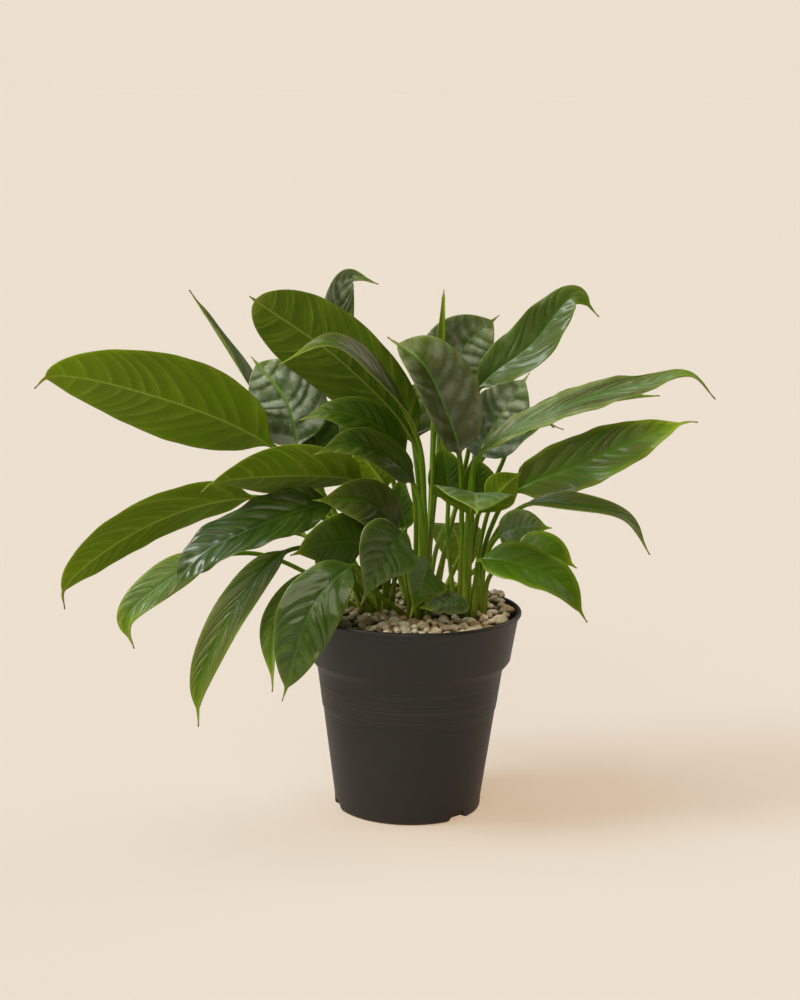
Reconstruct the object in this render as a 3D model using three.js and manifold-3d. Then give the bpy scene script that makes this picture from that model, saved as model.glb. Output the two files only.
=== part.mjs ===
// Potted peace lily in a 15 cm grower's pot, as one object of separate solids.
// Millimetres, +Z up. The origin is the centre of the pot's flat underside; -Y is the front.
//
// Pieces: the moulded pot, the potting mix that fills it, a top dressing of gravel, four root
// crowns that the plant grows from, and one solid for each leaf, made of its stalk and its blade.
import * as THREE from "three";
import { mergeVertices } from "three/addons/utils/BufferGeometryUtils.js";
import Module from "manifold-3d";

const wasm = await Module();
wasm.setup();

// ---------------------------------------------------------------- driving dimensions

const GAP = 0.3; // clearance between pieces that touch

const SIDES = 44; // of everything turned about the pot's axis

const POT = {
  height: 138.7,
  rimRadius: 75,
  rimHeight: 3.4, // the rounded bead along the top edge
  collarTopRadius: 73,
  collarFootRadius: 68.2,
  collarFoot: 104.5, // height of the collar's lower edge
  shoulder: 99, // where the chamfer under the collar meets the body
  bodyTopRadius: 63.2,
  shoulderStep: 1, // how far below the shoulder the inside begins to widen
  stepHeight: 70.5, // a faint step round the body
  stepDepth: 0.5,
  bodyFootRadius: 50.2,
  footHeight: 9, // the rounded foot of the wall
  baseRadius: 46.5,
  heelWidth: 2.6, // the foot's slope, up from the underside's edge
  heelHeight: 1,
  heelTop: 4,
  heelTopInset: 0.3,
  lipStep: 1, // the bead's corners: under its lower edge and over its top
  lipInset: 0.5,
  lipTopInset: 0.4,
  lipTopDrop: 0.6,
  lipRound: 1.2,
  wall: 1.7,
  floor: 3,
};

const DRAIN = {
  holes: 6,
  holeRadius: 4,
  holeSides: 12,
  past: 1, // how far a cut runs on beyond the faces that it opens
  circleRadius: 30,
  notches: 3, // arches in the foot's edge
  notchWidth: 18,
  notchHeight: 6.5,
  notchInset: 4, // how far it reaches in from the underside's edge
  notchLength: 10,
  notchSides: 10,
  firstNotch: -45, // degrees, front right
};

const MIX = { top: 122 };

const BED = {
  bottom: MIX.top + GAP,
  top: 130,
  heap: 6.5, // how much higher the stones come at the wall, on the heap's side
  heapBearing: 37, // degrees, back right
  heapStart: 36, // how far towards it the heap begins
  pebbles: 98,
  smallest: 4.2, // pebble radius
  largest: 6.8,
  spacing: 0.8, // of the sum of two neighbours' radii
  fromWall: 0.6,
  fromCrown: 1,
  atCrown: 0.8, // the share of a pebble's radius that is kept clear of a crown
  depth: [0.85, 1.05], // a pebble's other two sizes, as shares of its length
  thickness: [0.72, 0.84],
  rings: [1, 0.67, 0.34], // where the bed's top is divided, for the heap
  tries: 6000,
  shrinkingTries: 2500, // over which the pebbles tried become smaller
  seed: 41,
};

const CROWN = {
  top: 132.5,
  bottom: 84,
  collarRadius: 13.6,
  footRadius: 6,
  coneHeight: 24, // of the narrower part below the collar
  bevel: 1.5, // round the collar's top
  sides: 12,
  roots: 3,
  rootRadius: 1.7,
  rootSides: 6,
  firstRoot: 30, // degrees
  rootCircleRadius: 7.2,
  rootTop: 104,
  rootBottom: 60,
};
const CROWNS = {
  left: { x: -24, y: 12 },
  middle: { x: 7, y: 1 },
  right: { x: 38.5, y: 5 },
  back: { x: 9, y: 35 },
};

const LEAF = {
  bladeThickness: 0.8,
  edgeThickness: 0.7,
  ribDepth: 1.2, // how far the midrib stands out below the blade, at its base
  ribFade: 1.5, // how quickly it grows shallower towards the tip
  stalkStations: 4,
  shortStalkStations: 3,
  bladeStations: [0.06, 0.18, 0.35, 0.54, 0.73, 0.9, 1], // shares of the blade
  shortBladeStations: [0.08, 0.27, 0.5, 0.73, 0.92, 1],
  shortBlade: 75,
  swell: 0.62, // how slowly the blade widens from its base: 1 would be a straight wedge
  dripHalfWidth: 1.5, // of the thin point, where it leaves the blade proper
  tipHalfWidth: 0.35,
  ruffleTurn: 11, // radians of ruffle from base to tip
  ruffleShift: 1.6, // radians between the two edges' ruffles
  ruffleFull: 12, // half width from which the ruffle has its full height
  curveSteps: 160,
  lengthDivisions: 400,
};

const STALK = {
  radius: 1.7,
  footExtra: 0.8,
  footShare: 0.45, // of the stalk's length, over which it thins
  narrowShare: 0.75, // how stout a stalk is before its leaf's width is counted
  stoutAtWidth: 180, // a leaf's width adds its share of this
};

// ---------------------------------------------------------------- the leaves
//
// One row for each leaf. It grows from a crown at a distance and bearing from the crown's centre
// (0 is to the right, 90 to the back). Its stalk runs through the stalk points to the blade's
// base, and its midrib on through the other blade points to the tip. "face" is the way that the
// upper side looks at the blade's base. Fold lifts both halves and droop turns the edges down,
// in degrees. Wave is the height of the ruffle. A low taper keeps the blade broad towards its
// tip, and drip is the share of its length in the thin point beyond the blade proper. A row that
// leaves one of these out has its usual value, below.

const USUAL = { fold: 8, droop: 0, wave: 0, taper: 1, drip: 0.09 };

const LEAVES = [
  // the left side
  {
    name: "leaf_left_1", crown: "left", slot: [5.5, 180], stalk: [[-56, 12, 206]],
    blade: [[-95, 5, 247], [-169, -12, 281], [-240, -22, 295], [-250, -24, 287]],
    width: 64, face: [0.1, 0.95, 0.3], wave: 0.3, taper: 0.7, drip: 0.06,
  },
  {
    name: "leaf_left_2", crown: "left", slot: [11, 152], stalk: [[-68, 50, 210]],
    blade: [[-106, 50, 271], [-134, 50, 314], [-155, 46, 347]],
    width: 32, face: [0.85, -0.05, 0.5], fold: 12,
  },
  {
    name: "leaf_left_3", crown: "left", slot: [11, 215], stalk: [[-54, -8, 196]],
    blade: [[-106, -28, 218], [-172, -45, 202], [-227, -54, 160], [-227, -54, 146]],
    width: 42, face: [0, 0.85, 0.5], fold: 10, wave: 0.4, taper: 0.72, drip: 0.08,
  },
  {
    name: "leaf_left_4", crown: "left", slot: [5.5, 0], stalk: [[-14, -12, 205]],
    blade: [[-34, -28, 230], [-81, -44, 236], [-131, -54, 231], [-138, -54, 225]],
    width: 50, face: [0, 0.8, 0.6], fold: 12, taper: 0.85,
  },
  {
    name: "leaf_left_5", crown: "left", slot: [5.5, 300], stalk: [[-32, -16, 190]],
    blade: [[-51, -40, 216], [-107, -62, 202], [-137, -68, 186], [-158, -70, 159]],
    width: 42, face: [0, -0.55, 0.83], fold: 10, wave: 1.5, taper: 0.75,
  },
  {
    name: "leaf_left_6", crown: "left", slot: [11, 185], stalk: [[-69, -4, 161], [-105, -10, 176]],
    blade: [[-136, -16, 173], [-166, -22, 157], [-190, -26, 133], [-185, -26, 113]],
    width: 28, face: [0, -0.7, 0.7], fold: 14, taper: 0.85,
  },
  {
    name: "leaf_left_7", crown: "left", slot: [11, 245], stalk: [[-55, -24, 180]],
    blade: [[-82, -36, 184], [-114, -52, 150], [-138, -58, 97], [-139, -58, 69]],
    width: 28, face: [-0.5, -0.7, 0.5], fold: 14, taper: 0.74,
  },
  {
    name: "leaf_left_8", crown: "left", slot: [11, 275], stalk: [[-41, -36, 166]],
    blade: [[-57, -52, 172], [-87, -64, 144], [-90, -66, 96]],
    width: 32, face: [-0.7, -0.5, 0.5], fold: 18,
  },
  // the front
  {
    name: "leaf_front_1", crown: "middle", slot: [11, 200], stalk: [[-28, -46, 163]],
    blade: [[-39, -76, 183], [-63, -90, 160], [-82, -95, 98]],
    width: 40, face: [-0.3, -0.9, 0.3], fold: 10, droop: 8, wave: 1.2, taper: 0.8,
  },
  {
    name: "leaf_front_2", crown: "middle", slot: [11, 230], stalk: [[-5, -22, 180]],
    blade: [[-10, -36, 199], [-32, -54, 221], [-65, -62, 223]],
    width: 36, face: [-0.1, -0.7, 0.7],
  },
  {
    name: "leaf_front_3", crown: "left", slot: [11, 305], stalk: [[-20, -26, 174]],
    blade: [[-30, -44, 190], [-55, -58, 194], [-79, -65, 187]],
    width: 40, face: [-0.1, -0.97, 0.15], fold: 4, droop: 8,
  },
  {
    name: "leaf_front_4", crown: "middle", slot: [11, 260], stalk: [[0, -36, 176]],
    blade: [[-7, -60, 202], [-19, -70, 188], [-33, -76, 157]],
    width: 43, face: [0.05, -0.9, 0.4], fold: 14, droop: 6, wave: 1, taper: 1.6, drip: 0.12,
  },
  {
    name: "leaf_front_5", crown: "middle", slot: [11, 290], stalk: [[12, -30, 161]],
    blade: [[11, -42, 177], [6, -50, 164], [-1, -53, 144]],
    width: 40, face: [0.1, -0.97, 0.2], fold: 10, taper: 1.5, drip: 0.14,
  },
  {
    name: "leaf_front_6", crown: "right", slot: [11, 230], stalk: [[34, -18, 146]],
    blade: [[34, -27, 151], [21, -37, 150], [5, -42, 148]],
    width: 29, face: [0, -0.6, 0.8], fold: 6,
  },
  {
    name: "leaf_front_7", crown: "right", slot: [11, 260], stalk: [[36, -10, 183]],
    blade: [[38, -17, 207], [40, -42, 226], [41, -70, 217]],
    width: 55, face: [0.1, -0.3, 0.95], fold: 10, droop: 6, taper: 0.85,
  },
  // the right side
  {
    name: "leaf_right_1", crown: "right", slot: [11, 290], stalk: [[44, -18, 166]],
    blade: [[45, -32, 179], [72, -46, 179], [98, -54, 168], [115, -56, 144]],
    width: 33, face: [0.1, -0.7, 0.7], fold: 10, wave: 1.2, taper: 0.85,
  },
  {
    name: "leaf_right_2", crown: "right", slot: [11, 20], stalk: [[50, 8, 171]],
    blade: [[59, 4, 189], [76, 2, 195], [94, 1, 195]],
    width: 26, face: [0, -0.75, 0.65], fold: 12,
  },
  {
    name: "leaf_right_3", crown: "right", slot: [11, 350], stalk: [[53, -2, 162]],
    blade: [[70, -12, 178], [91, -17, 183], [110, -19, 172]],
    width: 28, face: [0, -0.7, 0.7], fold: 10,
  },
  {
    name: "leaf_right_4", crown: "right", slot: [11, 50], stalk: [[54, 20, 181]],
    blade: [[76, 8, 209], [111, -6, 212], [143, -10, 204], [159, -14, 181]],
    width: 23, face: [0, -0.3, 0.95], fold: 16, taper: 0.85,
  },
  {
    name: "leaf_right_5", crown: "right", slot: [11, 80], stalk: [[54, 25, 190]],
    blade: [[68, 26, 214], [110, 22, 234], [150, 17, 253], [184, 14, 267], [191, 14, 267]],
    width: 40, face: [0, -0.75, 0.65], fold: 12, wave: 1.5, taper: 0.85,
  },
  {
    name: "leaf_right_6", crown: "right", slot: [5.5, 270], stalk: [[40, -8, 208]],
    blade: [[44, -14, 247], [100, -23, 282], [151, -27, 298], [179, -29, 305], [196, -30, 289]],
    width: 22, face: [-0.1, -0.5, 0.85], fold: 10, wave: 1.5, taper: 0.85,
  },
  {
    name: "leaf_right_7", crown: "back", slot: [11, 330], stalk: [[59, 30, 230]],
    blade: [[74, 32, 262], [118, 26, 279], [165, 18, 284]],
    width: 24, face: [0, -0.3, 0.95], fold: 14,
  },
  {
    name: "leaf_right_8", crown: "back", slot: [5.5, 0], stalk: [[37, 30, 240]],
    blade: [[43, 25, 285], [78, 19, 317], [106, 16, 350], [122, 14, 337]],
    width: 35, face: [-0.3, -0.8, 0.5], fold: 18, wave: 1.2, taper: 0.8,
  },
  {
    name: "leaf_right_9", crown: "right", slot: [5.5, 60], stalk: [[48, 14, 189]],
    blade: [[54, 13, 210], [63, 13, 222], [73, 13, 231]],
    width: 24, face: [0, 0.9, 0.2],
  },
  // the top
  {
    name: "leaf_top_1", crown: "middle", slot: [5.5, 90], stalk: [[8, 8, 198]],
    blade: [[0, 6, 251], [-47, -2, 304], [-110, -12, 349]],
    width: 57, face: [0.1, 0.95, 0.2], wave: 0.5, taper: 0.5, drip: 0.03,
  },
  {
    name: "leaf_top_2", crown: "middle", slot: [5.5, 330], stalk: [[8, -4, 207]],
    blade: [[2, -12, 257], [-27, -30, 303], [-55, -38, 323], [-91, -44, 307]],
    width: 38, face: [0.2, -0.2, 0.95],
  },
  {
    name: "leaf_top_3", crown: "right", slot: [5.5, 180], stalk: [[33, -4, 193]],
    blade: [[30, -10, 246], [19, -18, 279], [4, -22, 308], [-19, -14, 324]],
    width: 47, face: [0.6, -0.78, 0.15], fold: 36, taper: 0.7,
  },
  {
    name: "leaf_top_4", crown: "back", slot: [11, 195], stalk: [[-42, 40, 253]],
    blade: [[-51, 38, 304], [-53, 34, 337], [-46, 30, 360], [-26, 26, 355]],
    width: 22, face: [0, -0.9, 0.2], fold: 14,
  },
  {
    name: "leaf_top_5", crown: "left", slot: [5.5, 120], stalk: [[-69, 34, 219]],
    blade: [[-79, 32, 242], [-88, 32, 274], [-112, 38, 303]],
    width: 54, face: [0, -0.9, 0.3], fold: 10, taper: 0.7,
  },
  {
    name: "leaf_top_6", crown: "left", slot: [11, 88], stalk: [[-63, 52, 209]],
    blade: [[-66, 52, 233], [-71, 54, 261], [-79, 58, 286]],
    width: 34, face: [0, -0.9, 0.3], fold: 10,
  },
  {
    name: "leaf_top_7", crown: "middle", slot: [5.5, 150], stalk: [[1, -12, 215]],
    blade: [[-6, -14, 246], [-28, -19, 267], [-54, -23, 275], [-77, -24, 269]],
    width: 30, face: [0, -0.5, 0.85], fold: 10,
  },
  {
    name: "leaf_top_8", crown: "middle", slot: [5.5, 270], stalk: [[6, -22, 207]],
    blade: [[-1, -28, 230], [-22, -40, 251], [-42, -52, 259], [-66, -60, 252]],
    width: 30, face: [0, -0.5, 0.85], fold: 10,
  },
  {
    name: "leaf_top_9", crown: "left", slot: [11, 340], stalk: [[-10, -2, 193]],
    blade: [[-18, -6, 222], [-29, -7, 237], [-42, -8, 254]],
    width: 30, face: [0, 0.9, 0.3],
  },
  {
    name: "leaf_top_10", crown: "back", slot: [5.5, 270], stalk: [[17, 34, 241]],
    blade: [[18, 35, 281], [31, 35, 311], [56, 32, 335]],
    width: 50, face: [0, -0.9, 0.3], taper: 0.8,
  },
  {
    name: "leaf_top_11", crown: "right", slot: [5.5, 120], stalk: [[38, 6, 212]],
    blade: [[42, 6, 241], [57, 4, 270], [76, 2, 300]],
    width: 44, face: [-0.1, -0.9, 0.3], fold: 12, taper: 0.85,
  },
  {
    name: "leaf_spear", crown: "middle", slot: [5.5, 30], stalk: [[13, 14, 224]],
    blade: [[15, 16, 292], [17, 16, 326], [18, 16, 353]],
    width: 5, face: [0, -1, 0], fold: 30,
  },
  // the middle, between the stalks
  {
    name: "leaf_middle_1", crown: "middle", slot: [11, 130], stalk: [[-5, 16, 168]],
    blade: [[-5, 16, 189], [-9, 16, 210], [-6, 16, 229]],
    width: 20, face: [-0.3, -0.9, 0], fold: 10,
  },
  {
    name: "leaf_middle_2", crown: "right", slot: [11, 140], stalk: [[24, 18, 189]],
    blade: [[24, 20, 209], [22, 22, 230], [18, 26, 250]],
    width: 26, face: [0, -0.9, 0.2], fold: 10,
  },
  {
    name: "leaf_middle_3", crown: "right", slot: [11, 110], stalk: [[43, 20, 188]],
    blade: [[45, 18, 208], [44, 18, 225], [40, 20, 242]],
    width: 26, face: [0, -0.9, 0.2], fold: 10,
  },
  // the back, which the front view hides
  {
    name: "leaf_back_1", crown: "back", slot: [11, 165], stalk: [[-20, 60, 190]],
    blade: [[-40, 80, 225], [-70, 115, 255], [-95, 150, 250]],
    width: 46, face: [0, -0.3, 0.95], fold: 10, wave: 1.2,
  },
  {
    name: "leaf_back_2", crown: "back", slot: [11, 105], stalk: [[5, 65, 200]],
    blade: [[0, 85, 240], [-5, 120, 270], [-12, 165, 262]],
    width: 50, face: [0, -0.3, 0.95], wave: 1.2,
  },
  {
    name: "leaf_back_3", crown: "back", slot: [11, 45], stalk: [[30, 60, 195]],
    blade: [[50, 80, 230], [80, 112, 252], [110, 145, 240]],
    width: 46, face: [0, -0.3, 0.95], fold: 10, wave: 1,
  },
  {
    name: "leaf_back_4", crown: "back", slot: [11, 15], stalk: [[45, 45, 156]],
    blade: [[64, 60, 170], [88, 80, 170], [104, 96, 150]],
    width: 40, face: [0, -0.3, 0.95], fold: 12, wave: 1,
  },
  {
    name: "leaf_back_5", crown: "left", slot: [11, 120], stalk: [[-44, 45, 160]],
    blade: [[-75, 62, 174], [-112, 85, 182], [-142, 105, 160]],
    width: 40, face: [0, -0.3, 0.95], fold: 12, wave: 1,
  },
  {
    name: "leaf_back_6", crown: "back", slot: [11, 75], stalk: [[17, 60, 165]],
    blade: [[25, 90, 178], [33, 118, 165], [40, 136, 125]],
    width: 40, face: [0, 0.3, 0.95], fold: 10, droop: 6,
  },
  {
    name: "leaf_back_7", crown: "back", slot: [11, 135], stalk: [[-12, 60, 165]],
    blade: [[-32, 86, 175], [-52, 110, 160], [-65, 122, 115]],
    width: 38, face: [0, 0.3, 0.95], fold: 10, droop: 6,
  },
  {
    name: "leaf_back_8", crown: "back", slot: [5.5, 60], stalk: [[13, 55, 230]],
    blade: [[15, 65, 275], [25, 80, 305], [40, 95, 318]],
    width: 44, face: [0, -0.9, 0.4],
  },
  {
    name: "leaf_back_9", crown: "back", slot: [5.5, 150], stalk: [[-20, 55, 240]],
    blade: [[-32, 62, 270], [-55, 75, 300], [-80, 90, 305]],
    width: 44, face: [0, -0.9, 0.4],
  },
];

// ---------------------------------------------------------------- solids

function solidFrom(geometry) {
  const bare = new THREE.BufferGeometry();
  bare.setAttribute("position", geometry.getAttribute("position").clone());
  if (geometry.index) bare.setIndex(geometry.index.clone());
  const merged = mergeVertices(bare, 1e-4);
  const vertProperties = new Float32Array(merged.getAttribute("position").array);
  const triVerts = new Uint32Array(merged.index.array);
  return new wasm.Manifold(new wasm.Mesh({ numProp: 3, vertProperties, triVerts }));
}

function geometryFrom(solid) {
  const mesh = solid.getMesh();
  const geometry = new THREE.BufferGeometry();
  geometry.setAttribute("position", new THREE.BufferAttribute(mesh.vertProperties, 3));
  geometry.setIndex(new THREE.BufferAttribute(mesh.triVerts, 1));
  return geometry;
}

// A profile of [radius, height] points, from the axis at the bottom to the axis at the top,
// turned about the Z axis.
function turned(profile, sides) {
  const points = profile.map(([radius, height]) => new THREE.Vector2(radius, height));
  const geometry = new THREE.LatheGeometry(points, sides);
  return geometry.rotateX(Math.PI / 2);
}

function post(radius, bottom, top, sides, x = 0, y = 0) {
  const geometry = new THREE.CylinderGeometry(radius, radius, top - bottom, sides);
  return geometry.rotateX(Math.PI / 2).translate(x, y, (top + bottom) / 2);
}

function namedMesh(name, geometry, material) {
  const mesh = new THREE.Mesh(geometry, material);
  mesh.name = name;
  return mesh;
}

// A small generator, so that every build places the same pebbles.
function seededRandom(seed) {
  let state = seed;
  return () => {
    state = (state * 1664525 + 1013904223) % 4294967296;
    return state / 4294967296;
  };
}

// ---------------------------------------------------------------- pot

const OUTER_PROFILE = [
  [POT.baseRadius, 0],
  [POT.baseRadius + POT.heelWidth, POT.heelHeight],
  [POT.bodyFootRadius - POT.heelTopInset, POT.heelTop],
  [POT.bodyFootRadius, POT.footHeight],
  [bodyRadius(POT.stepHeight), POT.stepHeight],
  [bodyRadius(POT.stepHeight) + POT.stepDepth, POT.stepHeight + POT.stepDepth],
  [POT.bodyTopRadius, POT.shoulder],
  [POT.collarFootRadius, POT.collarFoot],
  [POT.collarTopRadius, POT.height - POT.rimHeight],
  [POT.rimRadius - POT.lipInset, POT.height - POT.rimHeight + POT.lipStep],
  [POT.rimRadius, POT.height - POT.rimHeight / 2],
  [POT.rimRadius - POT.lipTopInset, POT.height - POT.lipTopDrop],
  [POT.rimRadius - POT.lipRound, POT.height],
];

function bodyRadius(height) {
  const share = (height - POT.footHeight) / (POT.shoulder - POT.footHeight);
  return POT.bodyFootRadius + share * (POT.bodyTopRadius - POT.stepDepth - POT.bodyFootRadius);
}

function innerRadius(height) {
  if (height >= POT.collarFoot) {
    const share = (height - POT.collarFoot) / (POT.height - POT.rimHeight - POT.collarFoot);
    return POT.collarFootRadius - POT.wall + share * (POT.collarTopRadius - POT.collarFootRadius);
  }
  if (height >= POT.shoulder) {
    const share = (height - POT.shoulder) / (POT.collarFoot - POT.shoulder);
    return POT.bodyTopRadius - POT.wall + share * (POT.collarFootRadius - POT.bodyTopRadius);
  }
  return bodyRadius(height) - POT.wall;
}

function potGeometry() {
  const inside = [
    [innerRadius(POT.height - POT.rimHeight), POT.height],
    [innerRadius(POT.height - POT.rimHeight), POT.height - POT.rimHeight],
    [innerRadius(POT.collarFoot), POT.collarFoot],
    [bodyRadius(POT.shoulder) - POT.wall, POT.shoulder - POT.shoulderStep],
    [innerRadius(POT.floor), POT.floor],
  ];
  const profile = [[0, 0], ...OUTER_PROFILE, ...inside, [0, POT.floor]];
  let pot = solidFrom(turned(profile, SIDES));
  for (let i = 0; i < DRAIN.holes; i += 1) {
    const angle = ((i + 0.5) / DRAIN.holes) * 2 * Math.PI;
    const x = DRAIN.circleRadius * Math.cos(angle);
    const y = DRAIN.circleRadius * Math.sin(angle);
    const { holeRadius, holeSides, past } = DRAIN;
    const hole = post(holeRadius, -past, POT.floor + past, holeSides, x, y);
    pot = pot.subtract(solidFrom(hole));
  }
  for (let i = 0; i < DRAIN.notches; i += 1) {
    pot = pot.subtract(solidFrom(notchGeometry(DRAIN.firstNotch + (i * 360) / DRAIN.notches)));
  }
  return geometryFrom(pot);
}

// A tunnel with an arched roof, through the foot's edge at a bearing.
function notchGeometry(bearing) {
  const half = DRAIN.notchWidth / 2;
  const outline = new THREE.Shape();
  outline.moveTo(-half, -DRAIN.past);
  outline.lineTo(half, -DRAIN.past);
  outline.absellipse(0, 0, half, DRAIN.notchHeight, 0, Math.PI, false);
  outline.closePath();
  const arch = new THREE.ExtrudeGeometry(outline, {
    depth: DRAIN.notchLength, bevelEnabled: false, curveSegments: DRAIN.notchSides,
  });
  arch.rotateX(Math.PI / 2).rotateZ(Math.PI / 2);
  arch.translate(POT.baseRadius - DRAIN.notchInset, 0, 0);
  return arch.rotateZ(THREE.MathUtils.degToRad(bearing));
}

// ---------------------------------------------------------------- crowns, mix and gravel

// A crown with its roots, or with grow the room that it takes in what is round it. The room is
// open at the top, as high as asked.
function crownSolid(grow, top = CROWN.top) {
  const { bottom, collarRadius, bevel, sides, roots, rootRadius, rootSides, firstRoot } = CROWN;
  const radius = collarRadius + grow;
  const knob = [
    [0, bottom - grow],
    [CROWN.footRadius + grow, bottom - grow],
    [radius - bevel, bottom + CROWN.coneHeight],
    [radius, CROWN.top - bevel],
    [radius - (grow > 0 ? 0 : bevel), top],
    [0, top],
  ];
  let solid = solidFrom(turned(knob, sides));
  for (let i = 0; i < roots; i += 1) {
    const angle = THREE.MathUtils.degToRad(firstRoot + (i * 360) / roots);
    const root = post(rootRadius + grow, CROWN.rootBottom - grow, CROWN.rootTop, rootSides);
    root.translate(
      CROWN.rootCircleRadius * Math.cos(angle), CROWN.rootCircleRadius * Math.sin(angle), 0,
    );
    solid = solid.add(solidFrom(root));
  }
  return solid;
}

function crownRoom(place) {
  return crownSolid(GAP, BED.top + BED.heap + 2 * BED.largest).translate([place.x, place.y, 0]);
}

function mixGeometry() {
  const bottom = POT.floor + GAP;
  const profile = [
    [0, bottom],
    [innerRadius(bottom) - GAP, bottom],
    [bodyRadius(POT.shoulder) - POT.wall - GAP, POT.shoulder - POT.shoulderStep],
    [innerRadius(POT.collarFoot) - GAP, POT.collarFoot],
    [innerRadius(MIX.top) - GAP, MIX.top],
    [0, MIX.top],
  ];
  let mix = solidFrom(turned(profile, SIDES));
  for (const place of Object.values(CROWNS)) mix = mix.subtract(crownRoom(place));
  return geometryFrom(mix);
}

// How far the stones are heaped above the bed at a place.
function heap(x, y) {
  const bearing = THREE.MathUtils.degToRad(BED.heapBearing);
  const towards = x * Math.cos(bearing) + y * Math.sin(bearing);
  return BED.heap * THREE.MathUtils.smoothstep(towards, BED.heapStart, innerRadius(BED.top));
}

function farFromCrowns(x, y, radius) {
  return Object.values(CROWNS).every(
    (place) => Math.hypot(x - place.x, y - place.y) > CROWN.collarRadius + BED.fromCrown + radius,
  );
}

// Pebbles are dropped one by one where there is still room, as by hand.
function pebblePlaces() {
  const random = seededRandom(BED.seed);
  const places = [];
  for (let tries = 0; tries < BED.tries && places.length < BED.pebbles; tries += 1) {
    const shrink = Math.min(1, tries / BED.shrinkingTries);
    const radius = BED.smallest + (BED.largest - BED.smallest) * (1 - shrink) * random();
    const reach = (innerRadius(BED.top) - GAP - radius - BED.fromWall) * Math.sqrt(random());
    const angle = 2 * Math.PI * random();
    const place = { x: reach * Math.cos(angle), y: reach * Math.sin(angle), radius };
    const free = places.every(
      (other) =>
        Math.hypot(other.x - place.x, other.y - place.y) > BED.spacing * (other.radius + radius),
    );
    if (free && farFromCrowns(place.x, place.y, radius * BED.atCrown)) places.push(place);
  }
  return places;
}

// One flattened stone, sunk to about its middle in what lies under it.
function pebbleSolid({ x, y, radius }, random) {
  const turn = 2 * Math.PI;
  const stone = new THREE.IcosahedronGeometry(radius, 0);
  stone.rotateX(random() * turn).rotateY(random() * turn);
  stone.scale(
    1,
    THREE.MathUtils.lerp(...BED.depth, random()),
    THREE.MathUtils.lerp(...BED.thickness, random()),
  );
  stone.rotateZ(random() * turn);
  stone.translate(x, y, BED.top + heap(x, y));
  return solidFrom(stone);
}

// The bed under the stones, with its top raised where they are heaped.
function bedSolid() {
  const edge = innerRadius(BED.top) - GAP;
  const rings = BED.rings.map((share) => [edge * share, BED.top]);
  const profile = [
    [0, BED.bottom], [innerRadius(BED.bottom) - GAP, BED.bottom], ...rings, [0, BED.top],
  ];
  const bed = turned(profile, SIDES);
  const corners = bed.getAttribute("position");
  for (let i = 0; i < corners.count; i += 1) {
    if (corners.getZ(i) < BED.top - GAP) continue;
    corners.setZ(i, BED.top + heap(corners.getX(i), corners.getY(i)));
  }
  return solidFrom(bed);
}

function gravelGeometry() {
  let gravel = bedSolid();
  const random = seededRandom(BED.seed + 1);
  for (const place of pebblePlaces()) gravel = gravel.add(pebbleSolid(place, random));
  for (const place of Object.values(CROWNS)) gravel = gravel.subtract(crownRoom(place));
  return geometryFrom(gravel);
}

// ---------------------------------------------------------------- leaves

const point = ([x, y, z]) => new THREE.Vector3(x, y, z);

// Half the blade's width as a share of its greatest, from base (0) to tip (1).
function bladeShare(s, taper) {
  if (s >= 1) return 0;
  const { swell } = LEAF;
  const widest = swell / (swell + taper);
  const peak = widest ** swell * (1 - widest) ** taper;
  return (s ** swell * (1 - s) ** taper) / peak;
}

// Half the width in millimetres: the blade proper, which runs out into the drip point.
function halfWidth(leaf, s) {
  const { width, taper, drip } = { ...USUAL, ...leaf };
  const proper = (width / 2) * bladeShare(s / (1 - drip), taper);
  const point = LEAF.dripHalfWidth * Math.min(1, (1 - s) / drip);
  return Math.max(LEAF.tipHalfWidth, Math.hypot(proper, point));
}

// The curve of one leaf as evenly spaced places, each with a direction along it and the way
// that the upper side looks, which is carried along the curve without needless turning.
function leafSpine(leaf) {
  const crown = CROWNS[leaf.crown];
  const [distance, bearing] = leaf.slot;
  const angle = THREE.MathUtils.degToRad(bearing);
  const foot = new THREE.Vector3(
    crown.x + distance * Math.cos(angle),
    crown.y + distance * Math.sin(angle),
    CROWN.top + GAP,
  );
  const points = [foot, ...leaf.stalk.map(point), ...leaf.blade.map(point)];
  const curve = new THREE.CatmullRomCurve3(points, false, "centripetal");
  curve.arcLengthDivisions = LEAF.lengthDivisions;
  const lengths = curve.getLengths();
  const total = lengths.at(-1);
  const baseParameter = (1 + leaf.stalk.length) / (points.length - 1);
  const baseShare = lengths[Math.round(baseParameter * LEAF.lengthDivisions)] / total;
  const places = [];
  for (let i = 0; i <= LEAF.curveSteps; i += 1) {
    const share = i / LEAF.curveSteps;
    places.push({ at: curve.getPointAt(share), along: curve.getTangentAt(share) });
  }
  const baseIndex = Math.round(baseShare * LEAF.curveSteps);
  carryFace(places, baseIndex, point(leaf.face));
  places[0].along.set(0, 0, 1); // the foot is cut level
  places[0].up.setZ(0).normalize();
  return { places, baseIndex, length: total };
}

function carryFace(places, baseIndex, face) {
  const settle = (place, wish) => {
    place.up = wish.clone().addScaledVector(place.along, -wish.dot(place.along)).normalize();
  };
  settle(places[baseIndex], face);
  for (let i = baseIndex + 1; i < places.length; i += 1) settle(places[i], places[i - 1].up);
  for (let i = baseIndex - 1; i >= 0; i -= 1) settle(places[i], places[i + 1].up);
}

function placeAt(spine, index) {
  const low = Math.min(Math.floor(index), spine.places.length - 2);
  const share = index - low;
  const a = spine.places[low];
  const b = spine.places[low + 1];
  return {
    at: a.at.clone().lerp(b.at, share),
    along: a.along.clone().lerp(b.along, share).normalize(),
    up: a.up.clone().lerp(b.up, share).normalize(),
  };
}

// Ten places round a section: five over the top from one edge to the other, and five back
// underneath. Across is -1 at one edge and 1 at the other.
const ACROSS = [-1, -0.5, 0, 0.5, 1];

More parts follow.
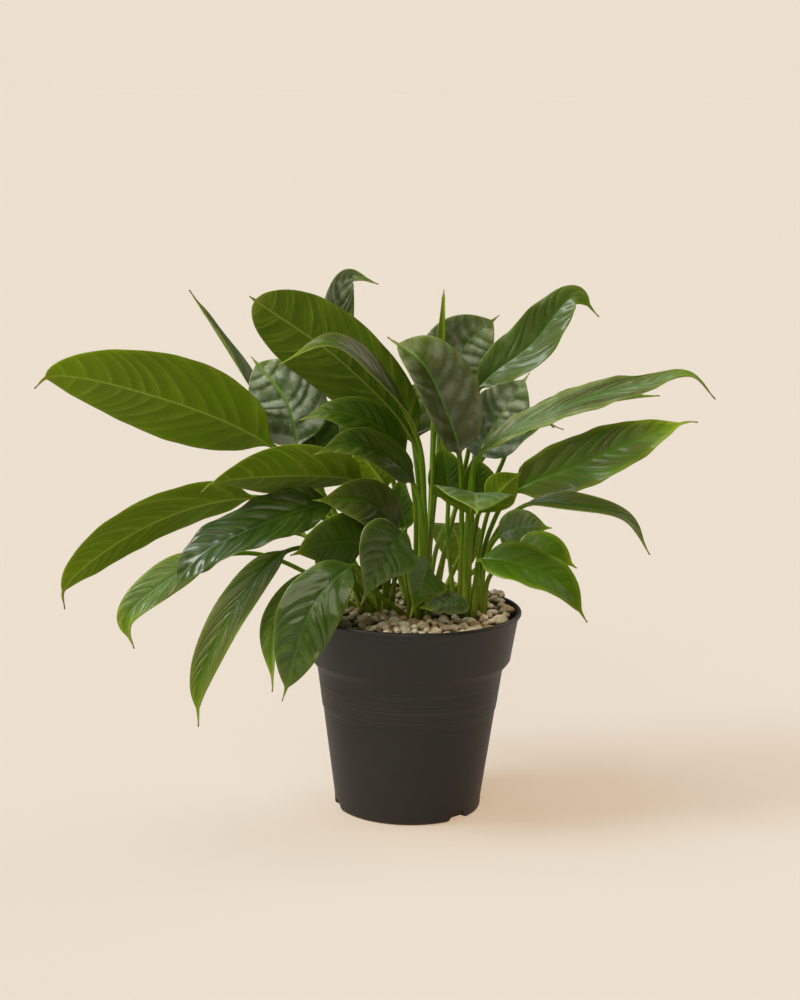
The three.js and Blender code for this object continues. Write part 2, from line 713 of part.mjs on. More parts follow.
// Where those ten places go round the six-sided stalk, in degrees.
const HEXAGON = [180, 120, 120, 60, 0, 0, -60, -60, -120, 180];

// The stalk is thickest at its foot, where it sheathes the crown, and even above that.
function stalkRadius(leaf, share) {
  const { radius, footExtra, footShare, narrowShare, stoutAtWidth } = STALK;
  const foot = Math.max(0, 1 - share / footShare);
  return (narrowShare + leaf.width / stoutAtWidth) * (radius + footExtra * foot * foot);
}

function stalkSection(place, radius) {
  const side = place.along.clone().cross(place.up);
  return HEXAGON.map((bearing) => {
    const angle = THREE.MathUtils.degToRad(bearing);
    return place.at.clone()
      .addScaledVector(side, radius * Math.cos(angle))
      .addScaledVector(place.up, radius * Math.sin(angle));
  });
}

function bladeSection(leaf, place, s) {
  const { fold, droop, wave, width } = { ...USUAL, ...leaf };
  const { up } = place;
  const side = place.along.clone().cross(up);
  const half = halfWidth(leaf, s);
  const rise = Math.sin(THREE.MathUtils.degToRad(fold));
  const fall = Math.sin(THREE.MathUtils.degToRad(droop));
  const rib = LEAF.ribDepth * (1 - s) ** LEAF.ribFade;
  const heightAt = (u) => {
    const phase = LEAF.ruffleTurn * s + LEAF.ruffleShift * Math.sign(u) + width;
    const ruffle = wave * Math.sin(phase) * Math.min(1, half / LEAF.ruffleFull);
    return half * (rise * Math.abs(u) - fall * u * u) + ruffle * u * u;
  };
  const corner = (u, offset) =>
    place.at.clone().addScaledVector(side, half * u).addScaledVector(up, heightAt(u) + offset);
  const thickness = (u) => (Math.abs(u) === 1 ? LEAF.edgeThickness : LEAF.bladeThickness);
  const top = ACROSS.map((u) => corner(u, thickness(u) / 2));
  const bottom = ACROSS.toReversed().map((u) => corner(u, -thickness(u) / 2 - (u === 0 ? rib : 0)));
  return [...top, ...bottom];
}

// Both faces of the blade are split along the same diagonals, so that they never cross.
function skin(sections) {
  const count = sections[0].length;
  const positions = sections.flat().flatMap((p) => [p.x, p.y, p.z]);
  const triangles = [];
  for (let ring = 0; ring < sections.length - 1; ring += 1) {
    for (let k = 0; k < count; k += 1) {
      const a = ring * count + k;
      const b = ring * count + ((k + 1) % count);
      const c = b + count;
      const d = a + count;
      if (k < count / 2) triangles.push(a, b, c, a, c, d);
      else triangles.push(a, b, d, b, c, d);
    }
  }
  for (let k = 1; k < count - 1; k += 1) triangles.push(0, k + 1, k);
  const last = (sections.length - 1) * count;
  for (let k = 1; k < count - 1; k += 1) triangles.push(last, last + k, last + k + 1);
  const geometry = new THREE.BufferGeometry();
  geometry.setAttribute("position", new THREE.Float32BufferAttribute(positions, 3));
  geometry.setIndex(triangles);
  return withoutSlivers(mergeVertices(geometry, 1e-3));
}

function withoutSlivers(geometry) {
  const index = geometry.index.array;
  const kept = [];
  for (let i = 0; i < index.length; i += 3) {
    const [a, b, c] = [index[i], index[i + 1], index[i + 2]];
    if (a !== b && b !== c && a !== c) kept.push(a, b, c);
  }
  geometry.setIndex(kept);
  return geometry;
}

function leafGeometry(leaf) {
  const spine = leafSpine(leaf);
  const last = spine.places.length - 1;
  const bladeLength = spine.length * (1 - spine.baseIndex / last);
  const short = bladeLength < LEAF.shortBlade;
  const stalkStations = short ? LEAF.shortStalkStations : LEAF.stalkStations;
  const sections = [];
  for (let i = 0; i < stalkStations; i += 1) {
    const share = i / stalkStations;
    sections.push(stalkSection(placeAt(spine, share * spine.baseIndex), stalkRadius(leaf, share)));
  }
  sections.push(stalkSection(placeAt(spine, spine.baseIndex), stalkRadius(leaf, 1)));
  const stations = short ? LEAF.shortBladeStations : LEAF.bladeStations;
  for (const share of stations) {
    const s = share * (1 - (leaf.drip ?? USUAL.drip));
    const index = spine.baseIndex + s * (last - spine.baseIndex);
    sections.push(bladeSection(leaf, placeAt(spine, index), s));
  }
  sections.push(bladeSection(leaf, placeAt(spine, last), 1));
  return skin(sections);
}

// ---------------------------------------------------------------- materials

const finish = (color, roughness) =>
  new THREE.MeshStandardMaterial({ color, roughness, metalness: 0 });

// ---------------------------------------------------------------- the whole plant

const plant = new THREE.Group();
plant.name = "potted_peace_lily";
plant.add(namedMesh("pot", potGeometry(), finish(0x37322f, 0.5)));
plant.add(namedMesh("potting_mix", mixGeometry(), finish(0x3a2c20, 0.95)));
plant.add(namedMesh("gravel", gravelGeometry(), finish(0xa5947a, 0.9)));
for (const [side, place] of Object.entries(CROWNS)) {
  const crown = geometryFrom(crownSolid(0).translate([place.x, place.y, 0]));
  plant.add(namedMesh(`root_crown_${side}`, crown, finish(0x6b5a3a, 0.85)));
}
for (const leaf of LEAVES) {
  plant.add(namedMesh(leaf.name, leafGeometry(leaf), finish(0x2f5220, 0.45)));
}

export default plant;
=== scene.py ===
"""A potted peace lily: the looks of its pot, gravel, crowns and leaves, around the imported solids.

Metres, +Z up, the pot's flat underside on Z = 0, the front towards -Y. The sizes of the plant and
its pot are written in millimetres, which MM turns into metres.
"""
import math
import random

import bpy
import numpy as np
from mathutils import Matrix, Vector


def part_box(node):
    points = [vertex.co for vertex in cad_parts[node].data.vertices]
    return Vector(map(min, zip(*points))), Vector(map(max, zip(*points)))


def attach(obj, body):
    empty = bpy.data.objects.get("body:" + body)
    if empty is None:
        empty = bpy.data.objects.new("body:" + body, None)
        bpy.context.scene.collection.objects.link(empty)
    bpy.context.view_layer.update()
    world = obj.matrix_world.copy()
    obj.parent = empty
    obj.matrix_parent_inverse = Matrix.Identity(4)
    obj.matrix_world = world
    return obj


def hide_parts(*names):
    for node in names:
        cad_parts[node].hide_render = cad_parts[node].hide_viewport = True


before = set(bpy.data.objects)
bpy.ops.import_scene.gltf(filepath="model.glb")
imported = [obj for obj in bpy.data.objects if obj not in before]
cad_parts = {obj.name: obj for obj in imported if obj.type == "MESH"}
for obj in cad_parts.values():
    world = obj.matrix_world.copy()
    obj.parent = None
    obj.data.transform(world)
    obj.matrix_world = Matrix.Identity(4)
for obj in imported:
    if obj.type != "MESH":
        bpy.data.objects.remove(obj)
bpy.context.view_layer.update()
bpy.ops.object.select_all(action="DESELECT")
MM = 0.001


# ---------------------------------------------------------------- the grower's pot
# A 15 cm nursery pot, moulded in one piece of recycled dark polypropylene with a thin wall, a
# deep collar under a rolled rim, turning marks from the mould, and three arched drain notches.

class Wire:
    """A shader socket that is used in Python expressions, each of which adds its own node."""

    def __init__(self, tree, socket=None):
        self.tree = tree
        self.socket = socket

    def node(self, kind, settings=None, values=None, output=0):
        """Adds any node: its settings first, then the values or wires of its sockets."""
        made = self.tree.nodes.new(kind)
        for key, value in (settings or {}).items():
            setattr(made, key, value)
        for key, value in (values or {}).items():
            if isinstance(value, Wire):
                self.tree.links.new(value.socket, made.inputs[key])
            else:
                made.inputs[key].default_value = value
        return Wire(self.tree, made.outputs[output])

    def maths(self, operation, *values):
        return self.node("ShaderNodeMath", {"operation": operation}, dict(enumerate(values)))

    def cosine(self):
        return self.maths("COSINE", self)

    def blend(self, low, high):
        """The colour low where this wire is 0, and high where it is 1.

        The Mix node has its colours in sockets 6 and 7, and its mixed colour in output 2.
        """
        return self.node("ShaderNodeMix", {"data_type": "RGBA"}, {0: self, 6: low, 7: high}, 2)

    def between(self, start, end):
        """0 below start, 1 above end, and smooth between them. Turned round if start > end."""
        settings = {"interpolation_type": "SMOOTHSTEP"}
        low, high, out = (start, end, (0.0, 1.0)) if start < end else (end, start, (1.0, 0.0))
        values = {"Value": self, "From Min": low, "From Max": high, "To Min": out[0], "To Max": out[1]}
        return self.node("ShaderNodeMapRange", settings, values)

    def attribute(self, name):
        return self.node("ShaderNodeAttribute", {"attribute_name": name}, output="Fac")

    def place(self):
        return self.node("ShaderNodeTexCoord", output="Object")

    def axis(self, letter):
        return self.node("ShaderNodeSeparateXYZ", values={"Vector": self}, output=letter)

    def stretched(self, x, y, z):
        return self.node("ShaderNodeMapping", values={"Vector": self, "Scale": (x, y, z)})

    def noise(self, scale, detail=2.0, roughness=0.5):
        values = {"Vector": self, "Scale": scale, "Detail": detail, "Roughness": roughness}
        return self.node("ShaderNodeTexNoise", values=values)

    def into(self, socket):
        self.tree.links.new(self.socket, socket)

    def __add__(self, other):
        return self.maths("ADD", self, other)

    def __sub__(self, other):
        return self.maths("SUBTRACT", self, other)

    def __rsub__(self, other):
        return self.maths("SUBTRACT", other, self)

    def __mul__(self, other):
        return self.maths("MULTIPLY", self, other)

    def __pow__(self, other):
        return self.maths("POWER", self, other)

    __radd__ = __add__
    __rmul__ = __mul__


def colour(red, green, blue):
    """A colour as it is read from a screen, 0 to 255, as the linear values that shaders take."""
    linear = [v / 12.92 if v <= 0.04045 else ((v + 0.055) / 1.055) ** 2.4
              for v in (red / 255, green / 255, blue / 255)]
    return (*linear, 1.0)


def new_finish(name):
    """A new material, its shader, and a wire that adds nodes to it."""
    finish = bpy.data.materials.new(name)
    finish.use_nodes = True
    return finish, finish.node_tree.nodes["Principled BSDF"], Wire(finish.node_tree)


def bumped(wire, shader, strength, distance):
    values = {"Strength": strength, "Distance": distance, "Height": wire}
    wire.node("ShaderNodeBump", values=values).into(shader.inputs["Normal"])


def dress(piece, finish, slot, *nodes):
    """Gives a finished piece its material and says which solids it stands for."""
    piece.data.materials.clear()
    piece.data.materials.append(finish)
    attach(piece, "root")
    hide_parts(*nodes)


POT_SIDES = 192
POT_HEIGHT = 138.7
POT_WALL = 1.7
POT_FLOOR = 3.0
UNDERSIDE_RADIUS = 46.5
FOOT_CURVE = [(47.9, 0.25), (49.1, 1.0), (49.8, 2.4), (49.9, 4.0)]      # radius, height
FOOT_RADIUS = 50.2
FOOT_HEIGHT = 9.0
STEP_HEIGHT = 70.5
STEP_DEPTH = 0.5
SHOULDER = 99.0
SHOULDER_RADIUS = 63.2
COLLAR_FOOT = 104.5
COLLAR_RADIUS = 68.2
COLLAR_TOP_RADIUS = 73.0
RIM_RADIUS = 75.0
RIM_HEIGHT = 3.4
RIM_ROLL = 1.5           # half the thickness of the rolled rim
MARKS_BELOW_STEP = [(12.5, 0.12), (63.2, 0.08), (66.6, 0.12)]           # height, depth
MARKS_ABOVE_STEP = [(73.6, 0.1), (77.2, 0.14), (81.5, 0.1), (85.3, 0.12), (90.2, 0.14)]
MARK_HALF_WIDTH = 0.6


def body_radius(height):
    """The outside of the body, without its step and its turning marks."""
    share = (height - FOOT_HEIGHT) / (SHOULDER - FOOT_HEIGHT)
    return FOOT_RADIUS + share * (SHOULDER_RADIUS - STEP_DEPTH - FOOT_RADIUS)


def turning_marks(marks, step):
    """Shallow grooves round the pot, as profile points, with a plain edge above and below each."""
    ups = [MARK_HALF_WIDTH * share for share in (-2, -1, -0.3, 0.3, 1, 2)]
    points = []
    for height, depth in marks:
        cuts = [0, 0, depth, depth, 0, 0]
        points += [(body_radius(height + up) + step - cut, height + up) for up, cut in zip(ups, cuts)]
    return points


def pot_profile():
    """The pot's section from the edge of its underside, over the rim, down to its floor."""
    step_radius = body_radius(STEP_HEIGHT)
    step = [(step_radius, STEP_HEIGHT), (step_radius + STEP_DEPTH, STEP_HEIGHT + 0.7)]
    body = turning_marks(MARKS_BELOW_STEP, 0) + step + turning_marks(MARKS_ABOVE_STEP, STEP_DEPTH)
    shoulder = [(SHOULDER_RADIUS, SHOULDER - 0.6), (SHOULDER_RADIUS + 0.7, SHOULDER + 0.4),
                (COLLAR_RADIUS - 0.8, COLLAR_FOOT - 0.7), (COLLAR_RADIUS, COLLAR_FOOT + 0.5)]
    collar_top = POT_HEIGHT - RIM_HEIGHT
    rim_middle = POT_HEIGHT - RIM_HEIGHT / 2
    rim = [(COLLAR_TOP_RADIUS, collar_top - 0.6), (COLLAR_TOP_RADIUS + 0.3, collar_top - 0.1)]
    for turn in range(-70, 91, 16):
        angle = math.radians(turn)
        rim.append((RIM_RADIUS - RIM_ROLL + RIM_ROLL * math.cos(angle),
                    rim_middle + RIM_HEIGHT / 2 * math.sin(angle)))
    inner_top = COLLAR_TOP_RADIUS - POT_WALL
    inside = [(inner_top + 0.9, POT_HEIGHT - 0.2), (inner_top + 0.3, POT_HEIGHT - 1.2),
              (inner_top, collar_top), (COLLAR_RADIUS - POT_WALL, COLLAR_FOOT),
              (body_radius(SHOULDER) - POT_WALL, SHOULDER - 1),
              (body_radius(POT_FLOOR) - POT_WALL, POT_FLOOR + 1.5),
              (body_radius(POT_FLOOR) - 3.2, POT_FLOOR)]
    return FOOT_CURVE + [(FOOT_RADIUS, FOOT_HEIGHT)] + body + shoulder + rim + inside


bpy.ops.mesh.primitive_circle_add(vertices=POT_SIDES, radius=UNDERSIDE_RADIUS * MM, fill_type="NGON")
pot = bpy.context.object
pot.name = "nursery_pot"
bpy.ops.object.mode_set(mode="EDIT")
bpy.ops.mesh.select_all(action="SELECT")
radius_now, height_now = UNDERSIDE_RADIUS, 0.0
for radius, height in pot_profile():
    rise = (0, 0, (height - height_now) * MM)
    bpy.ops.mesh.extrude_region_move(TRANSFORM_OT_translate={"value": rise})
    bpy.ops.transform.resize(value=(radius / radius_now, radius / radius_now, 1),
                             center_override=(0, 0, height * MM))
    radius_now, height_now = radius, height
bpy.ops.mesh.select_all(action="SELECT")
bpy.ops.mesh.normals_make_consistent(inside=False)
bpy.ops.object.mode_set(mode="OBJECT")


def cut_away(piece, cutter):
    """Cuts a closed tool's shape out of a piece, and throws the tool away."""
    cut = piece.modifiers.new("cut", "BOOLEAN")
    cut.operation = "DIFFERENCE"
    cut.solver = "EXACT"
    cut.object = cutter
    bpy.context.view_layer.objects.active = piece
    bpy.ops.object.modifier_apply(modifier=cut.name)
    bpy.data.objects.remove(cutter)


DRAIN_HOLES = 6
DRAIN_RADIUS = 4
DRAIN_CIRCLE = 30
for number in range(DRAIN_HOLES):
    turn = 2 * math.pi * (number + 0.5) / DRAIN_HOLES
    at = (DRAIN_CIRCLE * MM * math.cos(turn), DRAIN_CIRCLE * MM * math.sin(turn), 0)
    bpy.ops.mesh.primitive_cylinder_add(vertices=32, radius=DRAIN_RADIUS * MM, depth=20 * MM, location=at)
    cut_away(pot, bpy.context.object)

NOTCHES = 3
FIRST_NOTCH = -45
NOTCH_CIRCLE = 48
NOTCH_HALF_WIDTH = 9
NOTCH_HEIGHT = 6.5
for number in range(NOTCHES):
    turn = math.radians(FIRST_NOTCH + 360 / NOTCHES * number)
    at = (NOTCH_CIRCLE * MM * math.cos(turn), NOTCH_CIRCLE * MM * math.sin(turn), 0)
    bpy.ops.mesh.primitive_cylinder_add(vertices=48, radius=NOTCH_HALF_WIDTH * MM, depth=12 * MM,
                                        location=at, rotation=(math.pi / 2, 0, turn + math.pi / 2))
    bpy.ops.transform.resize(value=(1, 1, NOTCH_HEIGHT / NOTCH_HALF_WIDTH))
    cut_away(pot, bpy.context.object)

bpy.ops.object.select_all(action="DESELECT")
pot.select_set(True)
bpy.context.view_layer.objects.active = pot
bpy.ops.object.shade_smooth_by_angle(angle=math.radians(32))

DARK_PLASTIC, PALER_PLASTIC = colour(12, 9, 6), colour(20, 16, 12)
TURNED_RING, SCUFF, DUST = colour(42, 37, 30), colour(70, 65, 57), colour(72, 63, 51)

plastic, shader, wire = new_finish("recycled_black_polypropylene")
place = wire.place()
height = place.axis("Z")
turned = place.stretched(3, 3, 900).noise(1.0, 3.0, 0.6)
cloudy = place.noise(28.0, 4.0, 0.6)
dusty = place.stretched(1, 1, 2.5).noise(90.0, 5.0, 0.65)
rubbed_band = height.between(0.062, 0.074) * height.between(0.1, 0.094)
scuffed = rubbed_band * place.stretched(4, 4, 1500).noise(1.0, 4.0, 0.7)
base = cloudy.between(0.3, 0.7).blend(DARK_PLASTIC, PALER_PLASTIC)
base = ((turned - 0.5) * 2.2).between(0.25, 0.7).blend(base, TURNED_RING)
base = (scuffed.between(0.48, 0.68) * 0.5).blend(base, SCUFF)
base = (dusty.between(0.6, 0.8) * 0.3).blend(base, DUST)
base.into(shader.inputs["Base Color"])
(0.42 + 0.14 * cloudy + 0.1 * dusty).into(shader.inputs["Roughness"])
bumped(turned * 0.7 + dusty * 0.3, shader, 0.35, 0.0004)
shader.inputs["Specular IOR Level"].default_value = 0.5
dress(pot, plastic, "pot", "pot")


# ---------------------------------------------------------------- the potting mix
# Peat and fine bark, watered down firmly, which fills the pot to just under the gravel. It keeps
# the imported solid, because only slits of it are seen between the stones.

WET_PEAT, BARK_CRUMB = colour(38, 29, 21), colour(88, 68, 48)

peat, shader, wire = new_finish("moist_peat")
crumbs = wire.place().noise(420.0, 5.0, 0.65)
crumbs.between(0.35, 0.7).blend(WET_PEAT, BARK_CRUMB).into(shader.inputs["Base Color"])
(0.85 + 0.1 * crumbs).into(shader.inputs["Roughness"])
bumped(crumbs, shader, 0.8, 0.001)
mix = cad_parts["potting_mix"]
mix.data.materials.clear()
mix.data.materials.append(peat)


# ---------------------------------------------------------------- the root crowns
# The short, fleshy rhizomes that the leaves rise from, brown with old leaf scales, each with its
# first roots going down into the mix.

CROWN_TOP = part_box("root_crown_left")[1][2] / MM
CROWN_RADIUS = 13.4
CROWN_HEIGHT = 46
ROOTS = 3
ROOT_CIRCLE = 7.2
ROOT_LENGTH = 38
ROOT_MIDDLE = 80
ROOT_RADIUS = 1.7
ROOT_TIP_RADIUS = 0.7
OLD_SCALE, PALE_SCALE = colour(52, 40, 24), colour(112, 96, 58)

bark, shader, wire = new_finish("rhizome_scale")
scales = wire.place().stretched(1, 1, 0.35).noise(240.0, 4.0, 0.6)
scales.between(0.3, 0.7).blend(OLD_SCALE, PALE_SCALE).into(shader.inputs["Base Color"])
(0.7 + 0.2 * scales).into(shader.inputs["Roughness"])
bumped(scales, shader, 0.7, 0.0012)


def crown_piece(side, x, y):
    """A knob that slims downwards, with three roots, turned out of a cylinder."""
    middle = (x * MM, y * MM, (CROWN_TOP - CROWN_HEIGHT / 2) * MM)
    bpy.ops.mesh.primitive_cylinder_add(vertices=40, radius=CROWN_RADIUS * MM,
                                        depth=CROWN_HEIGHT * MM, location=middle)
    knob = bpy.context.object
    knob.name = f"crown_of_{side}_leaves"
    bpy.ops.object.mode_set(mode="EDIT")
    bpy.ops.mesh.select_all(action="SELECT")
    bpy.ops.mesh.subdivide(number_cuts=2)
    bpy.ops.object.mode_set(mode="OBJECT")
    bpy.ops.object.transform_apply(location=True, rotation=True, scale=True)
    for vertex in knob.data.vertices:
        depth = CROWN_TOP - vertex.co.z / MM           # it slims from 18 mm down
        slim = 1 - 0.5 * max(0, (depth - 18) / 30) ** 1.3 - 0.06 * math.exp(-depth)
        bearing = math.atan2(vertex.co.y - y * MM, vertex.co.x - x * MM)
        ripple = 1 + 0.02 * math.sin(7 * bearing + depth)
        vertex.co.x = x * MM + (vertex.co.x - x * MM) * slim * ripple
        vertex.co.y = y * MM + (vertex.co.y - y * MM) * slim * ripple
    roots = []
    for number in range(ROOTS):
        bearing = 2 * math.pi * (number + 0.25) / ROOTS
        at = ((x + ROOT_CIRCLE * math.cos(bearing)) * MM, (y + ROOT_CIRCLE * math.sin(bearing)) * MM,
              ROOT_MIDDLE * MM)
        bpy.ops.mesh.primitive_cone_add(vertices=14, radius1=ROOT_TIP_RADIUS * MM,
                                        radius2=ROOT_RADIUS * MM, depth=ROOT_LENGTH * MM, location=at)
        roots.append(bpy.context.object)
    for root in roots:
        root.select_set(True)
    knob.select_set(True)
    bpy.context.view_layer.objects.active = knob
    bpy.ops.object.join()
    bpy.ops.object.transform_apply(location=True, rotation=True, scale=True)
    bpy.ops.object.shade_smooth_by_angle(angle=math.radians(50))
    dress(knob, bark, "root_crown", f"root_crown_{side}")
    bpy.ops.object.select_all(action="DESELECT")


CROWNS = {}
for side in ("left", "middle", "right", "back"):
    low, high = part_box(f"root_crown_{side}")
    CROWNS[side] = ((low[0] + high[0]) / 2 / MM, (low[1] + high[1]) / 2 / MM)
    crown_piece(side, *CROWNS[side])


# ---------------------------------------------------------------- the leaves
# Each leaf is one growth: a round stalk, and a thin leathery blade that the stalk runs through
# as its midrib. Arched side veins sink into the glossy upper face and stand out underneath.

STALK_ROWS = 26
ROWS_PER_VEIN = 8
DRIP_ROWS = 14       # in the thin point beyond the blade proper
ACROSS = 13          # columns from the midrib to one edge
SPINE_STEPS = 240
CURVE_STEPS = 80     # from one chosen point of a leaf to the next
STALK_RADIUS = 1.7
STALK_FLARE = 0.8    # what the sheath adds to it at the foot
STALK_GAP = 0.3      # between the foot and the crown that it stands on
DRIP_HALF_WIDTH = 1.2
TIP_HALF_WIDTH = 0.35
VEIN_SPACING = 14
FEWEST_VEINS = 7
BLADE_THICKNESS = 0.8
RIB_HEIGHT = 1.2
GROOVE_DEPTH = 0.3
EDGE_RIPPLES = ((34, 0.7), (19, 0.4))     # wavelength, height
STALK_FEET = []      # where the stalks stand, for the gravel that is poured round them

# How young a leaf is, and how strong its bronze blush, its pale stripes, its gloss, its painted grey
# sheen and the pale band along its midrib are.
USUAL_LOOKS = {"fresh": 0.3, "blush": 0.0, "stripe": 0.1, "gloss": 0.4, "bloom": 0.0, "band": 0.08}


def unit(vectors):
    return vectors / np.linalg.norm(vectors, axis=-1, keepdims=True)


def ease(x, start, end):
    """0 before start, 1 after end, and smooth between them."""
    t = np.clip((x - start) / (end - start), 0, 1)
    return t * t * (3 - 2 * t)


def smooth_curve(points):
    """A centripetal curve through the points."""
    ahead, behind = 2 * points[0] - points[1], 2 * points[-1] - points[-2]
    padded = np.vstack([ahead, points, behind])
    t = np.linspace(0, 1, CURVE_STEPS + 1)[:-1, None]
    pieces = []
    for p0, p1, p2, p3 in zip(padded, padded[1:], padded[2:], padded[3:]):
        d0, d1, d2 = (np.linalg.norm(step) ** 0.5 for step in (p1 - p0, p2 - p1, p3 - p2))
        leave = ((p1 - p0) / d0 - (p2 - p0) / (d0 + d1) + (p2 - p1) / d1) * d1
        arrive = ((p2 - p1) / d1 - (p3 - p1) / (d1 + d2) + (p3 - p2) / d2) * d1
        square = 3 * (p2 - p1) - 2 * leave - arrive
        cube = 2 * (p1 - p2) + leave + arrive
        pieces.append(p1 + leave * t + square * t**2 + cube * t**3)
    return np.vstack(pieces + [points[-1:]])


def leaf_spine(crown, slot, stalk, blade, face):
    """Evenly spaced places along the stalk and the midrib, the way that the leaf runs at each and
    the way that its upper side looks, then the step at the blade's base, and the leaf's length."""
    bearing = math.radians(slot[1])
    x, y = CROWNS[crown]
    foot = (x + slot[0] * math.cos(bearing), y + slot[0] * math.sin(bearing), CROWN_TOP + STALK_GAP)
    curve = smooth_curve(np.array([foot, *stalk, *blade], float))
    lengths = np.concatenate([[0], np.cumsum(np.linalg.norm(np.diff(curve, axis=0), axis=1))])
    even = np.linspace(0, lengths[-1], SPINE_STEPS + 1)
    at = np.stack([np.interp(even, lengths, curve[:, i]) for i in range(3)], axis=1)
    along = unit(np.gradient(at, axis=0))
    base = round(lengths[CURVE_STEPS * (1 + len(stalk))] / lengths[-1] * SPINE_STEPS)
    up = np.zeros_like(at)
    up[base] = face
    order = list(range(base, SPINE_STEPS + 1)) + list(range(base - 1, -1, -1))
    for i in order:
        wish = up[i] if i == base else up[i - 1] if i > base else up[i + 1]
        up[i] = unit(wish - along[i] * wish.dot(along[i]))
    return at, along, up, base, lengths[-1]


def new_sheet(name, rows):
    """A flat sheet whose X runs along the leaf and whose Y goes round its section, and for each of
    its points the row, the place across from one edge (-1) to the other (1), and if it is on top."""
    bpy.ops.mesh.primitive_grid_add(x_subdivisions=rows, y_subdivisions=4 * ACROSS, size=2)
    leaf = bpy.context.object
    leaf.name = f"{name}_leaf"
    sheet = np.empty(len(leaf.data.vertices) * 3)
    leaf.data.vertices.foreach_get("co", sheet)
    sheet = sheet.reshape(-1, 3)
    row = np.rint((sheet[:, 0] + 1) / 2 * rows)
    turn = (sheet[:, 1] + 1) * 2                       # 0 to 2 over the top, 2 to 4 underneath
    upper = turn < 2 + 1e-6
    return leaf, row, np.where(upper, turn - 1, 3 - turn), upper


def blade_share(s, taper):
    """Half the blade's width, as a share of its greatest, from base (0) to tip (1)."""
    swell = 0.62
    widest = swell / (swell + taper)
    peak = widest**swell * (1 - widest) ** taper
    s = np.clip(s, 0, 1)
    return s**swell * (1 - s) ** taper / peak


def blade_lift(s, u, side, half, width, blade_length, bends, draw):
    """How far the blade's middle layer stands above the midrib: its fold, droop and waves."""
    fold, droop, wave = bends
    full = np.minimum(1, half / 12)                    # the waves die out in the narrow ends
    crease = np.sqrt(u**2 + (0.7 / half) ** 2) - 0.7 / half      # the fold, rounded at the midrib
    ruffle = wave * np.sin(11 * s + 1.6 * side + width) * u**2 * full
    for wavelength, height in EDGE_RIPPLES:
        turns = blade_length / wavelength * (s + 0.04 * side) + draw.random() + 0.3 * side
        ruffle = ruffle + (0.1 + wave) * height * np.sin(2 * np.pi * turns) * np.abs(u) ** 3 * full
    sway = 0.035 * width * np.sin(2 * np.pi * (1.3 * s + draw.random())) * u * full
    bent = math.sin(math.radians(fold)) * crease - math.sin(math.radians(droop)) * u**2
    return half * bent + ruffle + sway


def lay_along(spine, step, is_foot, aside, lifted):
    """Carries a flat section to its places along the spine. The foot of the stalk is cut level."""
    ticks = np.arange(SPINE_STEPS + 1)
    middle, ahead, above = (np.stack([np.interp(step, ticks, rail[:, i]) for i in range(3)], axis=1)
                            for rail in spine)
    level = is_foot[:, None]
    ahead = np.where(level, np.array([[0, 0, 1.0]]), unit(ahead))
    above = unit(above)
    above = unit(np.where(level, above * np.array([[1, 1, 0]]), above))
    across = unit(np.cross(ahead, above))
    return (middle + across * aside[:, None] + above * lifted[:, None]) * MM


def close_sheet():
    """Joins the two edges of the sheet that meet, and caps the foot and the tip."""
    bpy.ops.object.mode_set(mode="EDIT")
    bpy.ops.mesh.select_all(action="SELECT")
    bpy.ops.mesh.remove_doubles(threshold=1e-6)
    bpy.ops.mesh.select_all(action="SELECT")
    bpy.ops.mesh.fill_holes(sides=0)
    bpy.ops.mesh.select_all(action="SELECT")
    bpy.ops.mesh.normals_make_consistent(inside=False)
    bpy.ops.object.mode_set(mode="OBJECT")
    bpy.ops.object.shade_smooth()


# The skin of all the leaves. The upper face is dark and glossy, with pale stripes along its fine
# veins, and on some leaves a bronze blush and a painted grey sheen. The underside is paler and dull,
# with painted shade on one side of each raised vein.
OLD_TOP, YOUNG_TOP = colour(18, 36, 1), colour(74, 108, 0)
TOP_PATCH, TOP_STREAK, TOP_STRIPE = colour(44, 68, 2), colour(74, 96, 20), colour(118, 134, 70)
TOP_VEIN, TOP_RIB = colour(26, 40, 5), colour(108, 138, 56)
BRONZE, PAINTED_SHEEN_GREY = colour(82, 62, 36), colour(150, 164, 140)
OLD_UNDERSIDE, YOUNG_UNDERSIDE = colour(54, 80, 4), colour(106, 140, 8)
LOW_PATCH, LOW_STREAK, LOW_RELIEF_SHADE = colour(88, 104, 22), colour(112, 134, 22), colour(60, 84, 0)
LOW_VEIN, LOW_RIB = colour(138, 154, 58), colour(146, 166, 60)
YOUNG_MARGIN, THIN_EDGE = colour(128, 152, 14), colour(150, 154, 80)
TIP, DRY_TIP = colour(132, 136, 50), colour(92, 66, 38)
STALK_FOOT, STALK_TOP, STALK_LINE = colour(128, 146, 44), colour(86, 118, 14), colour(52, 74, 8)

leaf_skin, shader, wire = new_finish("peace_lily_leaf")
place = wire.place()
vein, reach, from_rib = wire.attribute("vein"), wire.attribute("reach"), wire.attribute("from_rib")
from_edge, upper, own = wire.attribute("from_edge"), wire.attribute("upper"), wire.attribute("own")
fresh, blush, stripe, gloss, bloom, band = (wire.attribute(look) for look in USUAL_LOOKS)
on_blade = reach.between(-0.02, 0.03)
off_rib = from_rib.between(1.0, 4.0)
major = ((vein * 2 * math.pi).cosine() * 0.5 + 0.5) ** 14
minor = ((vein * 14 * math.pi).cosine() * 0.5 + 0.5) ** 2
# Painted light and shade of the vein relief, high on one side of each side vein: it shades the underside
# there and brightens the painted sheen on top.
vein_relief_shading = (vein * 2 * math.pi + 2.4).cosine() * 0.5 + 0.5
along_veins = wire.node("ShaderNodeCombineXYZ", values={"X": vein, "Y": from_rib * 0.02, "Z": own})
streaks = along_veins.noise(3.4, 3.0, 0.65)
broad = along_veins.noise(0.8, 2.0, 0.5)
patchy = place.noise(34.0, 3.0, 0.55).between(0.3, 0.7)
glints = place.noise(75.0, 4.0, 0.65)
fine = place.noise(700.0, 2.0, 0.5)

